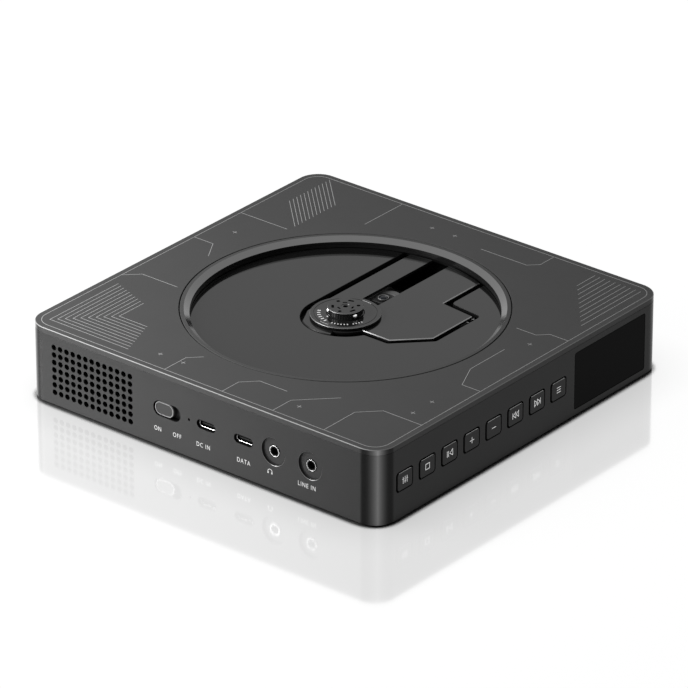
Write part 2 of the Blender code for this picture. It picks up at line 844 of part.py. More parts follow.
def make_side_housing():
    """The four walls in one piece, with a ledge that the bottom plate meets."""
    housing = square_slab("side_housing", CASE_SIDE, CASE_CORNER, FOOT_PROUD, housing_top)
    inner_side = 2 * inner_wall
    inner_corner = CASE_CORNER - CASE_WALL
    above = housing_top + CUT_OVERRUN
    below = FOOT_PROUD - CUT_OVERRUN
    cut(housing, square_slab("housing_cavity", inner_side, inner_corner, ledge_top, above))
    ledge_side = inner_side - 2 * LEDGE_WIDTH
    ledge_corner = inner_corner - LEDGE_WIDTH
    cut(housing, square_slab("ledge_opening", ledge_side, ledge_corner, below, above))
    cut(housing, square_slab("plate_pocket", inner_side, inner_corner, below, ledge_bottom))
    posts = bmesh.new()
    pins = bmesh.new()
    for place in key_post_places(-inner_wall - CASE_WALL / 4):
        end = Vector((place.x, key_board_front - FIT_GAP, place.z))
        add_rod(posts, place, end, KEY_POST_RADIUS, SMALL_STEPS)
        pin_end = Vector((place.x, key_board_back + STAKE_REACH, place.z))
        add_rod(pins, place, pin_end, PIN_RADIUS, PIN_SIDES)
    unite(housing, object_from(posts, "key_board_posts"))
    unite(housing, object_from(pins, "key_board_pins"))
    cut_ports(housing)
    cut_keys_and_display(housing)
    return finish_object(housing, "black_plastic")


def standoff_places(height):
    left = board_left + STANDOFF_INSET
    right = board_right - STANDOFF_INSET
    places = []
    for x in (left, right):
        for y in (BOARD_FRONT + STANDOFF_INSET, BOARD_BACK - STANDOFF_INSET):
            places.append(Vector((x, y, height)))
    return places


def make_bottom_plate():
    """The base: a plate inside the walls, with standoffs for the main board."""
    side = 2 * (inner_wall - FIT_GAP)
    corner = CASE_CORNER - CASE_WALL - FIT_GAP
    plate = square_slab("bottom_plate", side, corner, FOOT_PROUD, plate_top)
    standoffs = bmesh.new()
    pins = bmesh.new()
    for place in standoff_places(FOOT_PROUD + PLATE_THICKNESS / 2):
        top = Vector((place.x, place.y, board_bottom - FIT_GAP))
        add_rod(standoffs, place, top, STANDOFF_RADIUS, SMALL_STEPS)
        pin_top = Vector((place.x, place.y, board_top + STAKE_REACH))
        add_rod(pins, place, pin_top, PIN_RADIUS, PIN_SIDES)
    unite(plate, object_from(standoffs, "board_standoffs"))
    unite(plate, object_from(pins, "board_pins"))
    holes = bmesh.new()
    heads = bmesh.new()
    below = FOOT_PROUD - CUT_OVERRUN
    head_top = FOOT_PROUD + SCREW_HEAD_THICKNESS + FIT_GAP
    for place in corner_places(post_place, below):
        through = Vector((place.x, place.y, plate_top + CUT_OVERRUN))
        add_rod(holes, place, through, SCREW_RADIUS + FIT_GAP, PIN_SIDES)
        seat = Vector((place.x, place.y, head_top))
        add_rod(heads, place, seat, SCREW_HEAD_RADIUS + FIT_GAP, SMALL_STEPS)
    for place in corner_places(half_side - FOOT_INSET, below):
        seat = Vector((place.x, place.y, FOOT_PROUD + FOOT_SEAT_DEPTH))
        add_rod(heads, place, seat, FOOT_RADIUS + FIT_GAP, 2 * SMALL_STEPS)
    cut(plate, object_from(holes, "plate_screw_holes"))
    cut(plate, object_from(heads, "plate_counterbores"))
    return finish_object(plate, "black_plastic")


def make_rubber_feet():
    top = FOOT_PROUD + FOOT_SEAT_DEPTH - FIT_GAP
    profile = [
        (0.0, top),
        (FOOT_RADIUS, top),
        (FOOT_RADIUS, FOOT_CHAMFER),
        (FOOT_RADIUS - FOOT_CHAMFER, 0.0),
        (0.0, 0.0),
    ]
    mesh = baked(turned("foot", profile, 2 * SMALL_STEPS, closed=False), "foot")
    for foot in add_copies("rubber_foot", mesh, corner_places(half_side - FOOT_INSET, 0.0)):
        finish_object(foot, "rubber")


def make_case_screws():
    places = corner_places(post_place, FOOT_PROUD)
    for screw in add_copies("case_screw", screw_mesh(SCREW_LENGTH), places):
        finish_object(screw, "steel")


def make_well_ring():
    """The bright-edged ring that lines the well and clamps under the cover."""
    bottom = floor_top + FIT_GAP
    flange_top = cover_underside - FIT_GAP
    profile = [
        (rim_radius, CASE_HEIGHT),
        (rim_radius, flange_top),
        (flange_radius, flange_top),
        (flange_radius, bottom),
        (well_radius, bottom),
        (well_radius, CASE_HEIGHT - CONE_DEPTH),
        (cone_radius, CASE_HEIGHT),
    ]
    return finish_object(turned("well_ring", profile, WELL_STEPS), "black_plastic")


def deck_front_points(gap, end_radius):
    """Left, front and stepped edges, moved outwards by the gap, up to an end circle."""
    left = -(DECK_LEFT + gap)
    front = -(DECK_FRONT + gap)
    corner_cut = DECK_CUT + gap * (2 - sqrt(2))
    step_front = -(DECK_STEP_FRONT + gap)
    rise = DECK_FRONT - DECK_STEP_FRONT
    lean = DECK_STEP_LEAN / rise
    step_x = DECK_STEP_X + gap
    end_x = sqrt(end_radius**2 - step_front**2)
    return [
        (left, front + corner_cut),
        (left + corner_cut, front),
        (step_x, front),
        (step_x + lean * (step_front - front), step_front),
        (end_x, step_front),
    ]


def end_arc(end_radius, low_y, high_y):
    return arc(end_radius, asin(low_y / end_radius), asin(high_y / end_radius), ARC_POINTS)


def make_well_floor():
    """The fixed floor of the well, open where the mechanism shows through."""
    disc = rod("well_floor", (0, 0, floor_bottom), (0, 0, floor_top), floor_radius, WELL_STEPS)
    ears = bmesh.new()
    holes = bmesh.new()
    for place in ear_places(floor_bottom):
        top = Vector((place.x, place.y, floor_top))
        add_rod(ears, place, top, EAR_RADIUS, 2 * SMALL_STEPS)
        low = Vector((place.x, place.y, floor_bottom - CUT_OVERRUN))
        high = Vector((place.x, place.y, floor_top + CUT_OVERRUN))
        add_rod(holes, low, high, PIN_RADIUS + FIT_GAP, PIN_SIDES)
    unite(disc, object_from(ears, "floor_ears"))
    cut(disc, object_from(holes, "floor_holes"))
    radius = DECK_ARC + FIT_GAP
    end_radius = well_radius + CASE_WALL / 2
    front = deck_front_points(DECK_GAP, end_radius)
    left_angle = acos(front[0][0] / radius)
    points = arc(radius, pi / 2, 2 * pi - left_angle, 2 * ARC_POINTS)
    points += front
    points += end_arc(end_radius, front[-1][1], radius)[1:]
    below = floor_bottom - CUT_OVERRUN
    cut(disc, outline_slab("deck_opening", points, below, floor_top + CUT_OVERRUN))
    pins = bmesh.new()
    heads = bmesh.new()
    head_top = grommet_bottom - FIT_GAP
    for place in damper_places(head_top - STAKE_REACH):
        top = Vector((place.x, place.y, floor_bottom + FLOOR_THICKNESS / 2))
        add_rod(pins, place, top, PIN_RADIUS, PIN_SIDES)
        head_end = Vector((place.x, place.y, head_top))
        add_rod(heads, place, head_end, DAMPER_PIN_HEAD, SMALL_STEPS)
    unite(disc, object_from(pins, "damper_pins"))
    unite(disc, object_from(heads, "damper_pin_heads"))
    return finish_object(disc, "black_plastic")


def deck_boss_places(height):
    """Over the chassis, clear of its window, its tabs and the motor."""
    front_y = -(FLAP_FRONT - DECK_BOSS_INSET)
    step_y = -(DECK_STEP_FRONT - DECK_BOSS_INSET)
    back_y = DECK_BACK - DECK_BOSS_INSET + DECK_BOSS_RADIUS / 2
    return [
        Vector((DECK_CUT, front_y, height)),
        Vector((DECK_STEP_X - DECK_BOSS_INSET, front_y, height)),
        Vector((DECK_END_BOSS, step_y, height)),
        Vector((DECK_LEFT, back_y, height)),
    ]


def make_deck_cover():
    """The flat cover of the floating mechanism, slotted for the pickup."""
    end_radius = well_radius - DECK_END_GAP
    front = deck_front_points(0.0, end_radius)
    points = [(-DECK_LEFT, DECK_BACK)]
    points += arc(DECK_ARC, DECK_ARC_START, DECK_ARC_END)
    waist_end = 2 * pi - acos(-DECK_LEFT / DECK_WAIST)
    points += arc(DECK_WAIST, DECK_ARC_END, waist_end, SMALL_SEGMENTS)
    points += front
    points += end_arc(end_radius, front[-1][1], DECK_BACK)[1:]
    cover = outline_slab("deck_cover", points, deck_bottom, deck_top)
    chamfer_top(cover, DECK_EDGE)
    bosses = bmesh.new()
    pins = bmesh.new()
    for place in deck_boss_places(chassis_top + FIT_GAP):
        top = Vector((place.x, place.y, deck_bottom + DECK_THICKNESS / 2))
        add_rod(bosses, place, top, DECK_BOSS_RADIUS, SMALL_STEPS)
        pin_end = Vector((place.x, place.y, chassis_bottom - STAKE_REACH / 2))
        add_rod(pins, pin_end, top, PIN_RADIUS, PIN_SIDES)
    unite(cover, object_from(bosses, "deck_bosses"))
    unite(cover, object_from(pins, "deck_pins"))
    below = deck_bottom - CUT_OVERRUN
    above = deck_top + CUT_OVERRUN
    slot = box(
        "pickup_slot",
        (slot_start, -SLOT_WIDTH / 2, below),
        (end_radius + CUT_OVERRUN, SLOT_WIDTH / 2, above),
    )
    cut(cover, slot)
    hole = rod("deck_hole", (0, 0, below), (0, 0, above), DECK_HOLE, 2 * SMALL_STEPS)
    cut(cover, hole)
    return finish_object(cover, "black_plastic")


def damper_places(height):
    places = []
    left = (DAMPER_LEFT_X, DECK_BACK + DAMPER_LEFT_MARGIN)
    right = (DAMPER_RIGHT_X, right_damper_y)
    for x, spread in (left, right):
        for side in (-1, 1):
            places.append(Vector((x, side * spread, height)))
    return places


def make_mech_chassis():
    """A pressed steel plate with two bent tabs that hold the rods and the drive."""
    chassis = box(
        "mech_chassis",
        (-CHASSIS_LEFT, -CHASSIS_HALF_DEPTH, chassis_bottom),
        (chassis_right, CHASSIS_HALF_DEPTH, chassis_top),
    )
    flap = box(
        "chassis_flap",
        (-DECK_LEFT, -FLAP_FRONT, chassis_bottom),
        (DECK_STEP_X, -CHASSIS_HALF_DEPTH + CUT_OVERRUN, chassis_top),
    )
    unite(chassis, flap)
    ears = bmesh.new()
    for place in damper_places(chassis_bottom)[2:]:
        top = Vector((place.x, place.y, chassis_top))
        add_rod(ears, place, top, DAMPER_EAR, 2 * SMALL_STEPS)
    arm_left = DAMPER_RIGHT_X - DAMPER_NECK
    arms = box(
        "chassis_arms",
        (arm_left, -right_damper_y, chassis_bottom),
        (arm_left + 2 * DAMPER_NECK, right_damper_y, chassis_top),
    )
    unite(chassis, arms)
    unite(chassis, object_from(ears, "chassis_ears"))
    tab_top = chassis_bottom + CHASSIS_THICKNESS / 2
    motor_y = motor_axis_y()
    low_y = -(SCREW_AXIS_Y + NUT_REACH)
    left_tab = box(
        "left_tab",
        (left_tab_x, low_y, tab_bottom),
        (left_tab_x + TAB_THICKNESS, CHASSIS_HALF_DEPTH, tab_top),
    )
    unite(chassis, left_tab)
    left_bridge = box(
        "left_bridge",
        (left_tab_x - TAB_THICKNESS, low_y, chassis_bottom),
        (left_tab_x + 2 * TAB_THICKNESS, -CHASSIS_HALF_DEPTH + CUT_OVERRUN, chassis_top),
    )
    unite(chassis, left_bridge)
    motor_edge = motor_y - SLED_MOTOR_RADIUS
    right_tab = box(
        "right_tab",
        (right_tab_x, motor_edge, tab_bottom),
        (right_tab_x + TAB_THICKNESS, CHASSIS_HALF_DEPTH, tab_top),
    )
    unite(chassis, right_tab)
    right_bridge = box(
        "right_bridge",
        (right_tab_x - 2 * TAB_THICKNESS, motor_edge, chassis_bottom),
        (right_tab_x + TAB_THICKNESS, -CHASSIS_HALF_DEPTH + CUT_OVERRUN, chassis_top),
    )
    unite(chassis, right_bridge)
    window = box(
        "chassis_window",
        (window_start, -WINDOW_HALF_WIDTH, chassis_bottom - CUT_OVERRUN),
        (window_end, WINDOW_HALF_WIDTH, chassis_top + CUT_OVERRUN),
    )
    cut(chassis, window)
    holes = bmesh.new()
    for place in damper_places(chassis_bottom - CUT_OVERRUN):
        top = Vector((place.x, place.y, chassis_top + CUT_OVERRUN))
        add_rod(holes, place, top, DAMPER_NECK + FIT_GAP, SMALL_STEPS)
    for place in deck_boss_places(chassis_bottom - CUT_OVERRUN):
        top = Vector((place.x, place.y, chassis_top + CUT_OVERRUN))
        add_rod(holes, place, top, PIN_RADIUS + FIT_GAP, PIN_SIDES)
    bottom = Vector((0, 0, chassis_bottom - CUT_OVERRUN))
    top = Vector((0, 0, chassis_top + CUT_OVERRUN))
    add_rod(holes, bottom, top, MOTOR_BOSS_RADIUS + FIT_GAP, 2 * SMALL_STEPS)
    cut(chassis, object_from(holes, "chassis_holes"))
    bores = bmesh.new()
    for x in (left_tab_x, right_tab_x):
        low_x = x - CUT_OVERRUN
        high_x = x + TAB_THICKNESS + CUT_OVERRUN
        for side in (-1, 1):
            y = side * ROD_SPREAD
            bore_end = (high_x, y, rod_height)
            add_rod(bores, (low_x, y, rod_height), bore_end, ROD_RADIUS + FIT_GAP, SMALL_STEPS)
        add_rod(
            bores,
            (low_x, -SCREW_AXIS_Y, screw_height),
            (high_x, -SCREW_AXIS_Y, screw_height),
            LEADSCREW_RADIUS + RUN_GAP,
            SMALL_STEPS,
        )
    add_rod(
        bores,
        (right_tab_x - CUT_OVERRUN, motor_y, screw_height),
        (right_tab_x + TAB_THICKNESS + CUT_OVERRUN, motor_y, screw_height),
        SLED_MOTOR_SHAFT + RUN_GAP,
        SMALL_STEPS,
    )
    cut(chassis, object_from(bores, "tab_bores"))
    return finish_object(chassis, "zinc")


def make_damper_grommets():
    """Rubber bobbins: the chassis sits in their waists, the floor's pins in their bores."""
    bore = PIN_RADIUS + FIT_GAP
    profile = [
        (DAMPER_RADIUS, grommet_top),
        (DAMPER_RADIUS, chassis_top + FIT_GAP),
        (DAMPER_NECK, chassis_top + FIT_GAP),
        (DAMPER_NECK, chassis_bottom - FIT_GAP),
        (DAMPER_RADIUS, chassis_bottom - FIT_GAP),
        (DAMPER_RADIUS, grommet_bottom),
        (bore, grommet_bottom),
        (bore, grommet_top),
    ]
    mesh = baked(turned("grommet", profile, SMALL_STEPS), "grommet")
    for grommet in add_copies("damper_grommet", mesh, damper_places(0.0)):
        finish_object(grommet, "rubber")


shaft_bottom = motor_bottom + TAB_THICKNESS + FIT_GAP
motor_boss_top = turntable_boss_bottom - MOTOR_BOSS_GAP


def make_spindle_motor():
    profile = [
        (0.0, shaft_bottom - FIT_GAP),
        (shaft_bore, shaft_bottom - FIT_GAP),
        (shaft_bore, motor_boss_top),
        (MOTOR_BOSS_RADIUS, motor_boss_top),
        (MOTOR_BOSS_RADIUS, motor_top),
        (MOTOR_RADIUS, motor_top),
        (MOTOR_RADIUS, motor_bottom),
        (0.0, motor_bottom),
    ]
    return finish_object(turned("spindle_motor", profile, closed=False), "steel")


def make_spindle_shaft():
    top = cap_bottom - FIT_GAP
    shaft = rod("spindle_shaft", (0, 0, shaft_bottom), (0, 0, top), SHAFT_RADIUS)
    return finish_object(shaft, "steel")


def make_turntable():
    seat = HUB_RADIUS + FIT_GAP
    profile = [
        (TURNTABLE_RADIUS - TURNTABLE_CHAMFER, turntable_top),
        (TURNTABLE_RADIUS, turntable_top - TURNTABLE_CHAMFER),
        (TURNTABLE_RADIUS, turntable_bottom),
        (TURNTABLE_BOSS, turntable_bottom),
        (TURNTABLE_BOSS, turntable_boss_bottom),
        (shaft_bore, turntable_boss_bottom),
        (shaft_bore, turntable_top - HUB_SEAT_DEPTH),
        (seat, turntable_top - HUB_SEAT_DEPTH),
        (seat, turntable_top),
        (GROOVE_RADIUS, turntable_top),
        (GROOVE_RADIUS, turntable_top - GROOVE_DEPTH),
        (GROOVE_RADIUS + GROOVE_WIDTH, turntable_top - GROOVE_DEPTH),
        (GROOVE_RADIUS + GROOVE_WIDTH, turntable_top),
    ]
    return finish_object(turned("turntable", profile), "black_plastic")


ball_ring = HUB_RADIUS + BALL_PROUD - BALL_RADIUS
ball_height = hub_top - BALL_RADIUS + BALL_SIDE_GAP


def make_turntable_hub():
    """The boss that centres the disc, notched for three clamp balls."""
    neck = HUB_RADIUS - HUB_NECK_INSET
    profile = [
        (neck, hub_top),
        (neck, turntable_top),
        (HUB_RADIUS, turntable_top - FIT_GAP),
        (HUB_RADIUS, hub_bottom),
        (shaft_bore, hub_bottom),
        (shaft_bore, hub_top),
    ]
    hub = turned("turntable_hub", profile)
    half_width = BALL_RADIUS + BALL_SIDE_GAP
    inner = ball_ring - BALL_RADIUS - BALL_TRAVEL - BALL_SIDE_GAP
    for index in range(BALL_COUNT):
        low = (inner, -half_width, ball_height - BALL_RADIUS - BALL_SIDE_GAP)
        high = (HUB_RADIUS + CUT_OVERRUN, half_width, hub_top + CUT_OVERRUN)
        notch = box("ball_notch_%d" % (index + 1), low, high)
        notch.rotation_euler.z = BALL_START + 2 * pi * index / BALL_COUNT
        cut(hub, notch)
    return finish_object(hub, "black_plastic")


def make_hub_cap():
    """A thin cap over the hub, with a ring of small slots and dots."""
    profile = [
        (0.0, cap_top),
        (HUB_RADIUS - CAP_CHAMFER, cap_top),
        (HUB_RADIUS, cap_top - CAP_CHAMFER),
        (HUB_RADIUS, cap_bottom),
        (0.0, cap_bottom),
    ]
    cap = turned("hub_cap", profile, closed=False)
    marks = bmesh.new()
    floor = cap_top - CAP_MARK_DEPTH
    above = cap_top + CUT_OVERRUN
    for index in range(6):
        angle = radians(5) + 2 * pi * index / 6
        centre = Vector((CAP_MARK_RING * cos(angle), CAP_MARK_RING * sin(angle), floor))
        top = Vector((centre.x, centre.y, above))
        if index % 2:
            add_rod(marks, centre, top, CAP_DOT_RADIUS, SMALL_STEPS // 2)
        else:
            half_length = CAP_SLOT_LENGTH / 2
            half_width = CAP_SLOT_WIDTH / 2
            slot = add_box(
                marks, (-half_length, -half_width, floor), (half_length, half_width, above)
            )
            turn = Matrix.Translation((centre.x, centre.y, 0.0)) @ Matrix.Rotation(
                angle + pi / 2, 4, "Z"
            )
            bmesh.ops.transform(marks, matrix=turn, verts=slot)
    add_rod(marks, (0, 0, floor), (0, 0, above), CAP_CENTRE_RADIUS, SMALL_STEPS)
    cut(cap, object_from(marks, "cap_marks"))
    return finish_object(cap, "black_plastic")


def make_clamp_balls():
    for index in range(BALL_COUNT):
        angle = BALL_START + 2 * pi * index / BALL_COUNT
        shape = bmesh.new()
        bmesh.ops.create_uvsphere(
            shape, u_segments=SMALL_STEPS, v_segments=SMALL_STEPS // 2, radius=BALL_RADIUS
        )
        ball = object_from(shape, "clamp_ball_%d" % (index + 1))
        ball.location = (ball_ring * cos(angle), ball_ring * sin(angle), ball_height)
        finish_object(ball, "polished_metal", pi)


def make_guide_rods():
    low_x = left_tab_x - ROD_END
    high_x = right_tab_x + TAB_THICKNESS + ROD_END
    for name, y in (("front_guide_rod", -ROD_SPREAD), ("back_guide_rod", ROD_SPREAD)):
        guide = rod(name, (low_x, y, rod_height), (high_x, y, rod_height), ROD_RADIUS)
        finish_object(guide, "steel")


gear_low_x = right_tab_x + TAB_THICKNESS + GEAR_OFFSET
gear_high_x = gear_low_x + GEAR_THICKNESS


def make_leadscrew():
    """A rod with a shallow helical thread between two plain journals."""
    start = left_tab_x - ROD_END
    end = gear_high_x + ROD_END
    thread_start = left_tab_x + TAB_THICKNESS + RUN_GAP
    thread_end = right_tab_x - RUN_GAP
    turns = (thread_end - thread_start) / LEADSCREW_LEAD
    count = round(turns * LEADSCREW_RINGS_PER_TURN)
    stations = [(start, 0.0), (thread_start, 0.0)]
    for index in range(count + 1):
        x = thread_start + (thread_end - thread_start) * (index + 0.5) / (count + 1)
        stations.append((x, LEADSCREW_THREAD))
    stations += [(thread_end, 0.0), (end, 0.0)]
    shape = bmesh.new()
    rings = []
    for x, depth in stations:
        ring = []
        for side in range(LEADSCREW_SIDES):
            angle = 2 * pi * side / LEADSCREW_SIDES
            wave = (1 - cos(angle - 2 * pi * x / LEADSCREW_LEAD)) / 2
            radius = LEADSCREW_RADIUS - depth * wave
            ring.append(shape.verts.new((x, radius * cos(angle), radius * sin(angle))))
        rings.append(ring)
    for first, second in zip(rings, rings[1:]):
        for side in range(LEADSCREW_SIDES):
            following = (side + 1) % LEADSCREW_SIDES
            shape.faces.new((first[side], first[following], second[following], second[side]))
    shape.faces.new(rings[0])
    shape.faces.new(rings[-1])
    bmesh.ops.recalc_face_normals(shape, faces=shape.faces[:])
    screw = object_from(shape, "leadscrew")
    screw.location = (0.0, -SCREW_AXIS_Y, screw_height)
    return finish_object(screw, "steel")


def motor_axis_y():
    """The sled motor's axis, one gear centre distance out from the leadscrew."""
    return -(SCREW_AXIS_Y + GEAR_MODULE * (GEAR_TEETH + PINION_TEETH) / 2)


def gear_outline(teeth, first_angle):
    """Straight-sided teeth; the first tooth's middle is at the given angle."""
    pitch_radius = GEAR_MODULE * teeth / 2
    tip = pitch_radius + GEAR_TIP_SHARE * GEAR_MODULE
    root = pitch_radius - GEAR_ROOT_SHARE * GEAR_MODULE
    tooth = 2 * pi / teeth
    points = []
    for index in range(teeth):
        middle = first_angle + index * tooth
        for radius, share in (
            (root, -GEAR_FLANK_SHARE),
            (tip, -GEAR_CREST_SHARE),
            (tip, GEAR_CREST_SHARE),
            (root, GEAR_FLANK_SHARE),
        ):
            angle = middle + share * tooth
            points.append((radius * cos(angle), radius * sin(angle)))
    return points


# Turns a piece drawn about Z so that it lies about X: local x to -Z, local y to Y
LIE_ALONG_X = Matrix.Rotation(pi / 2, 4, "Y")


def make_gear(name, teeth, first_angle, bore, axis_y):
    gear = outline_slab(name, gear_outline(teeth, first_angle), gear_low_x, gear_high_x)
    below = gear_low_x - CUT_OVERRUN
    hole = rod(name + "_bore", (0, 0, below), (0, 0, gear_high_x + CUT_OVERRUN), bore)
    cut(gear, hole)
    mesh = baked(gear, name)
    mesh.transform(LIE_ALONG_X)
    gear = add_object(name, mesh)
    gear.location = (0.0, axis_y, screw_height)
    return gear


def make_leadscrew_gear():
    # A gap faces the pinion, which lies on the -Y side: local -y
    towards_pinion = -pi / 2 + pi / GEAR_TEETH
    bore = LEADSCREW_RADIUS + FIT_GAP
    gear = make_gear("leadscrew_gear", GEAR_TEETH, towards_pinion, bore, -SCREW_AXIS_Y)
    return finish_object(gear, "white_nylon")


def make_motor_pinion():
    """The pinion, with a tooth towards the gear, and its pressed-in shaft."""
    bore = SLED_MOTOR_SHAFT - FIT_GAP
    pinion = make_gear("motor_pinion", PINION_TEETH, pi / 2, bore, motor_axis_y())
    motor_front = right_tab_x - FIT_GAP
    start = (motor_front - SLED_MOTOR_LENGTH / 2, motor_axis_y(), screw_height)
    end = (gear_high_x + ROD_END, motor_axis_y(), screw_height)
    unite(pinion, rod("pinion_shaft", start, end, SLED_MOTOR_SHAFT))
    return finish_object(pinion, "zinc")


def make_sled_motor():
    axis_y = motor_axis_y()
    front = right_tab_x - FIT_GAP
    back = front - SLED_MOTOR_LENGTH
    start = (back, axis_y, screw_height)
    end = (front, axis_y, screw_height)
    motor = rod("sled_motor", start, end, SLED_MOTOR_RADIUS, 2 * SMALL_STEPS)
    bore_start = (front - SLED_MOTOR_LENGTH / 2 - FIT_GAP, axis_y, screw_height)
    bore_end = (front + CUT_OVERRUN, axis_y, screw_height)
    cut(motor, rod("motor_bore", bore_start, bore_end, SLED_MOTOR_SHAFT + RUN_GAP))
    return finish_object(motor, "steel")


sled_top = chassis_bottom - FIT_GAP
sled_bottom = sled_top - SLED_HEIGHT
yoke_bottom = sled_top + FIT_GAP
yoke_top = yoke_bottom + YOKE_HEIGHT


def make_pickup_sled():
    """The carriage: a block with an arm round each rod and a nut on the screw."""
    low = (sled_low_x, -SLED_HALF_WIDTH, sled_bottom)
    sled = box("pickup_sled", low, (sled_high_x, SLED_HALF_WIDTH, sled_top))
    arm_low = rod_height - SLED_ARM_HEIGHT / 2
    arm_high = rod_height + SLED_ARM_HEIGHT / 2
    reach = SLED_HALF_WIDTH + SLED_ARM_WIDTH
    arms = box("sled_arms", (sled_low_x, -reach, arm_low), (sled_high_x, reach, arm_high))
    unite(sled, arms)
    nut_middle = (sled_low_x + sled_high_x) / 2
    nut = box(
        "sled_nut",
        (nut_middle - NUT_LENGTH / 2, -SCREW_AXIS_Y - NUT_REACH, screw_height - NUT_HALF_HEIGHT),
        (nut_middle + NUT_LENGTH / 2, -reach + CUT_OVERRUN, screw_height + NUT_HALF_HEIGHT),
    )
    unite(sled, nut)
    bores = bmesh.new()
    for side in (-1, 1):
        y = side * ROD_SPREAD
        start = (sled_low_x - CUT_OVERRUN, y, rod_height)
        end = (sled_high_x + CUT_OVERRUN, y, rod_height)
        add_rod(bores, start, end, ROD_RADIUS + FIT_GAP, SMALL_STEPS)
    start = (sled_low_x, -SCREW_AXIS_Y, screw_height)
    end = (sled_high_x, -SCREW_AXIS_Y, screw_height)
    add_rod(bores, start, end, LEADSCREW_RADIUS + RUN_GAP, SMALL_STEPS)
    cut(sled, object_from(bores, "sled_bores"))
    set_origin(sled, (LENS_REST_X, 0.0, rod_height))
    return finish_object(sled, "soft_black")


def make_actuator_yoke():
    """The magnet yoke: a steel channel with a clear middle for the lens holder."""
    half_length = YOKE_LENGTH / 2
    half_width = YOKE_WIDTH / 2
    low = (LENS_REST_X - half_length + YOKE_WALL, -half_width, yoke_bottom)
    high = (LENS_REST_X + half_length, half_width, yoke_top)
    yoke = box("actuator_yoke", low, high)
    channel = box(
        "yoke_channel",
        (low[0] + YOKE_WALL, -half_width - CUT_OVERRUN, yoke_bottom + YOKE_WALL / 2),
        (high[0] - YOKE_WALL, half_width + CUT_OVERRUN, yoke_top + CUT_OVERRUN),
    )
    cut(yoke, channel)
    set_origin(yoke, (LENS_REST_X, 0.0, rod_height))
    return finish_object(yoke, "steel")


holder_bottom = yoke_top + FOCUS_TRAVEL + FIT_GAP
holder_top = holder_bottom + HOLDER_HEIGHT
lens_seat = holder_top - LENS_THICKNESS / 2


def make_lens_holder():
    """The moulded plate that carries the lens, with a stem between the magnets."""
    half_length = HOLDER_LENGTH / 2
    half_width = HOLDER_WIDTH / 2
    holder = box(
        "lens_holder",
        (LENS_REST_X - half_length, -half_width, holder_bottom),
        (LENS_REST_X + half_length, half_width, holder_top),
    )
    stem_half = HOLDER_STEM / 2
    stem_bottom = yoke_bottom + YOKE_WALL / 2 + FOCUS_TRAVEL + FIT_GAP
    stem = box(
        "holder_stem",
        (LENS_REST_X - stem_half, -stem_half, stem_bottom),
        (LENS_REST_X + stem_half, stem_half, holder_bottom + HOLDER_HEIGHT / 4),
    )
    unite(holder, stem)
    collar = rod(
        "lens_collar",
        (LENS_REST_X, 0, holder_bottom + HOLDER_HEIGHT / 2),
        (LENS_REST_X, 0, holder_top + LENS_RING),
        LENS_RADIUS + FIT_GAP + LENS_RING,
        2 * SMALL_STEPS,
    )
    unite(holder, collar)
    seat = rod(
        "lens_seat",
        (LENS_REST_X, 0, lens_seat),
        (LENS_REST_X, 0, holder_top + LENS_RING + CUT_OVERRUN),
        LENS_RADIUS + FIT_GAP,
        2 * SMALL_STEPS,
    )
    cut(holder, seat)
    set_origin(holder, (LENS_REST_X, 0.0, holder_bottom))
    return finish_object(holder, "soft_black")


def make_objective_lens():
    bottom = lens_seat + FIT_GAP
    edge = bottom + LENS_THICKNESS - LENS_DOME
    dome = [(0.0, edge + LENS_DOME)]
    for index in range(1, CORNER_SEGMENTS):
        angle = index / (CORNER_SEGMENTS - 1) * pi / 2
        dome.append((LENS_RADIUS * sin(angle), edge + LENS_DOME * cos(angle)))
    profile = dome + [(LENS_RADIUS, bottom), (0.0, bottom)]
    lens = turned("objective_lens", profile, 2 * SMALL_STEPS, closed=False)
    lens.location = (LENS_REST_X, 0.0, 0.0)
    return finish_object(lens, "lens_glass")


def make_main_board():
    """The circuit board with its chips, capacitors and lamp soldered on."""
    board = box(
        "main_board",
        (board_left, BOARD_FRONT, board_bottom),
        (board_right, BOARD_BACK, board_top),
    )
    holes = bmesh.new()
    for place in standoff_places(board_bottom - CUT_OVERRUN):
        top = Vector((place.x, place.y, board_top + CUT_OVERRUN))
        add_rod(holes, place, top, PIN_RADIUS + FIT_GAP, PIN_SIDES)
    cut(board, object_from(holes, "board_holes"))
    solder_level = board_top - BOARD_THICKNESS / 2
    chips = bmesh.new()
    for from_edge, y, side in CHIP_SPOTS:
        x = board_left + from_edge
        low = (x - side / 2, y - side / 2, solder_level)
        add_box(chips, low, (x + side / 2, y + side / 2, board_top + CHIP_HEIGHT))
    for from_edge, y in CAPACITOR_SPOTS:
        start = Vector((board_left + from_edge, y, solder_level))
        end = Vector((start.x, y, board_top + CAPACITOR_HEIGHT))
        add_rod(chips, start, end, CAPACITOR_RADIUS, SMALL_STEPS)
    half = LED_SIZE / 2
    lamp_left = wall_back + THUMB_FLANGE + FIT_GAP
    lamp_low = (lamp_left, LED_Y - half, solder_level)
    lamp_high = (lamp_left + LED_SIZE, LED_Y + half, port_level + LED_RISE)
    add_box(chips, lamp_low, lamp_high)
    unite(board, object_from(chips, "board_parts"))
    return finish_object(board, "board")


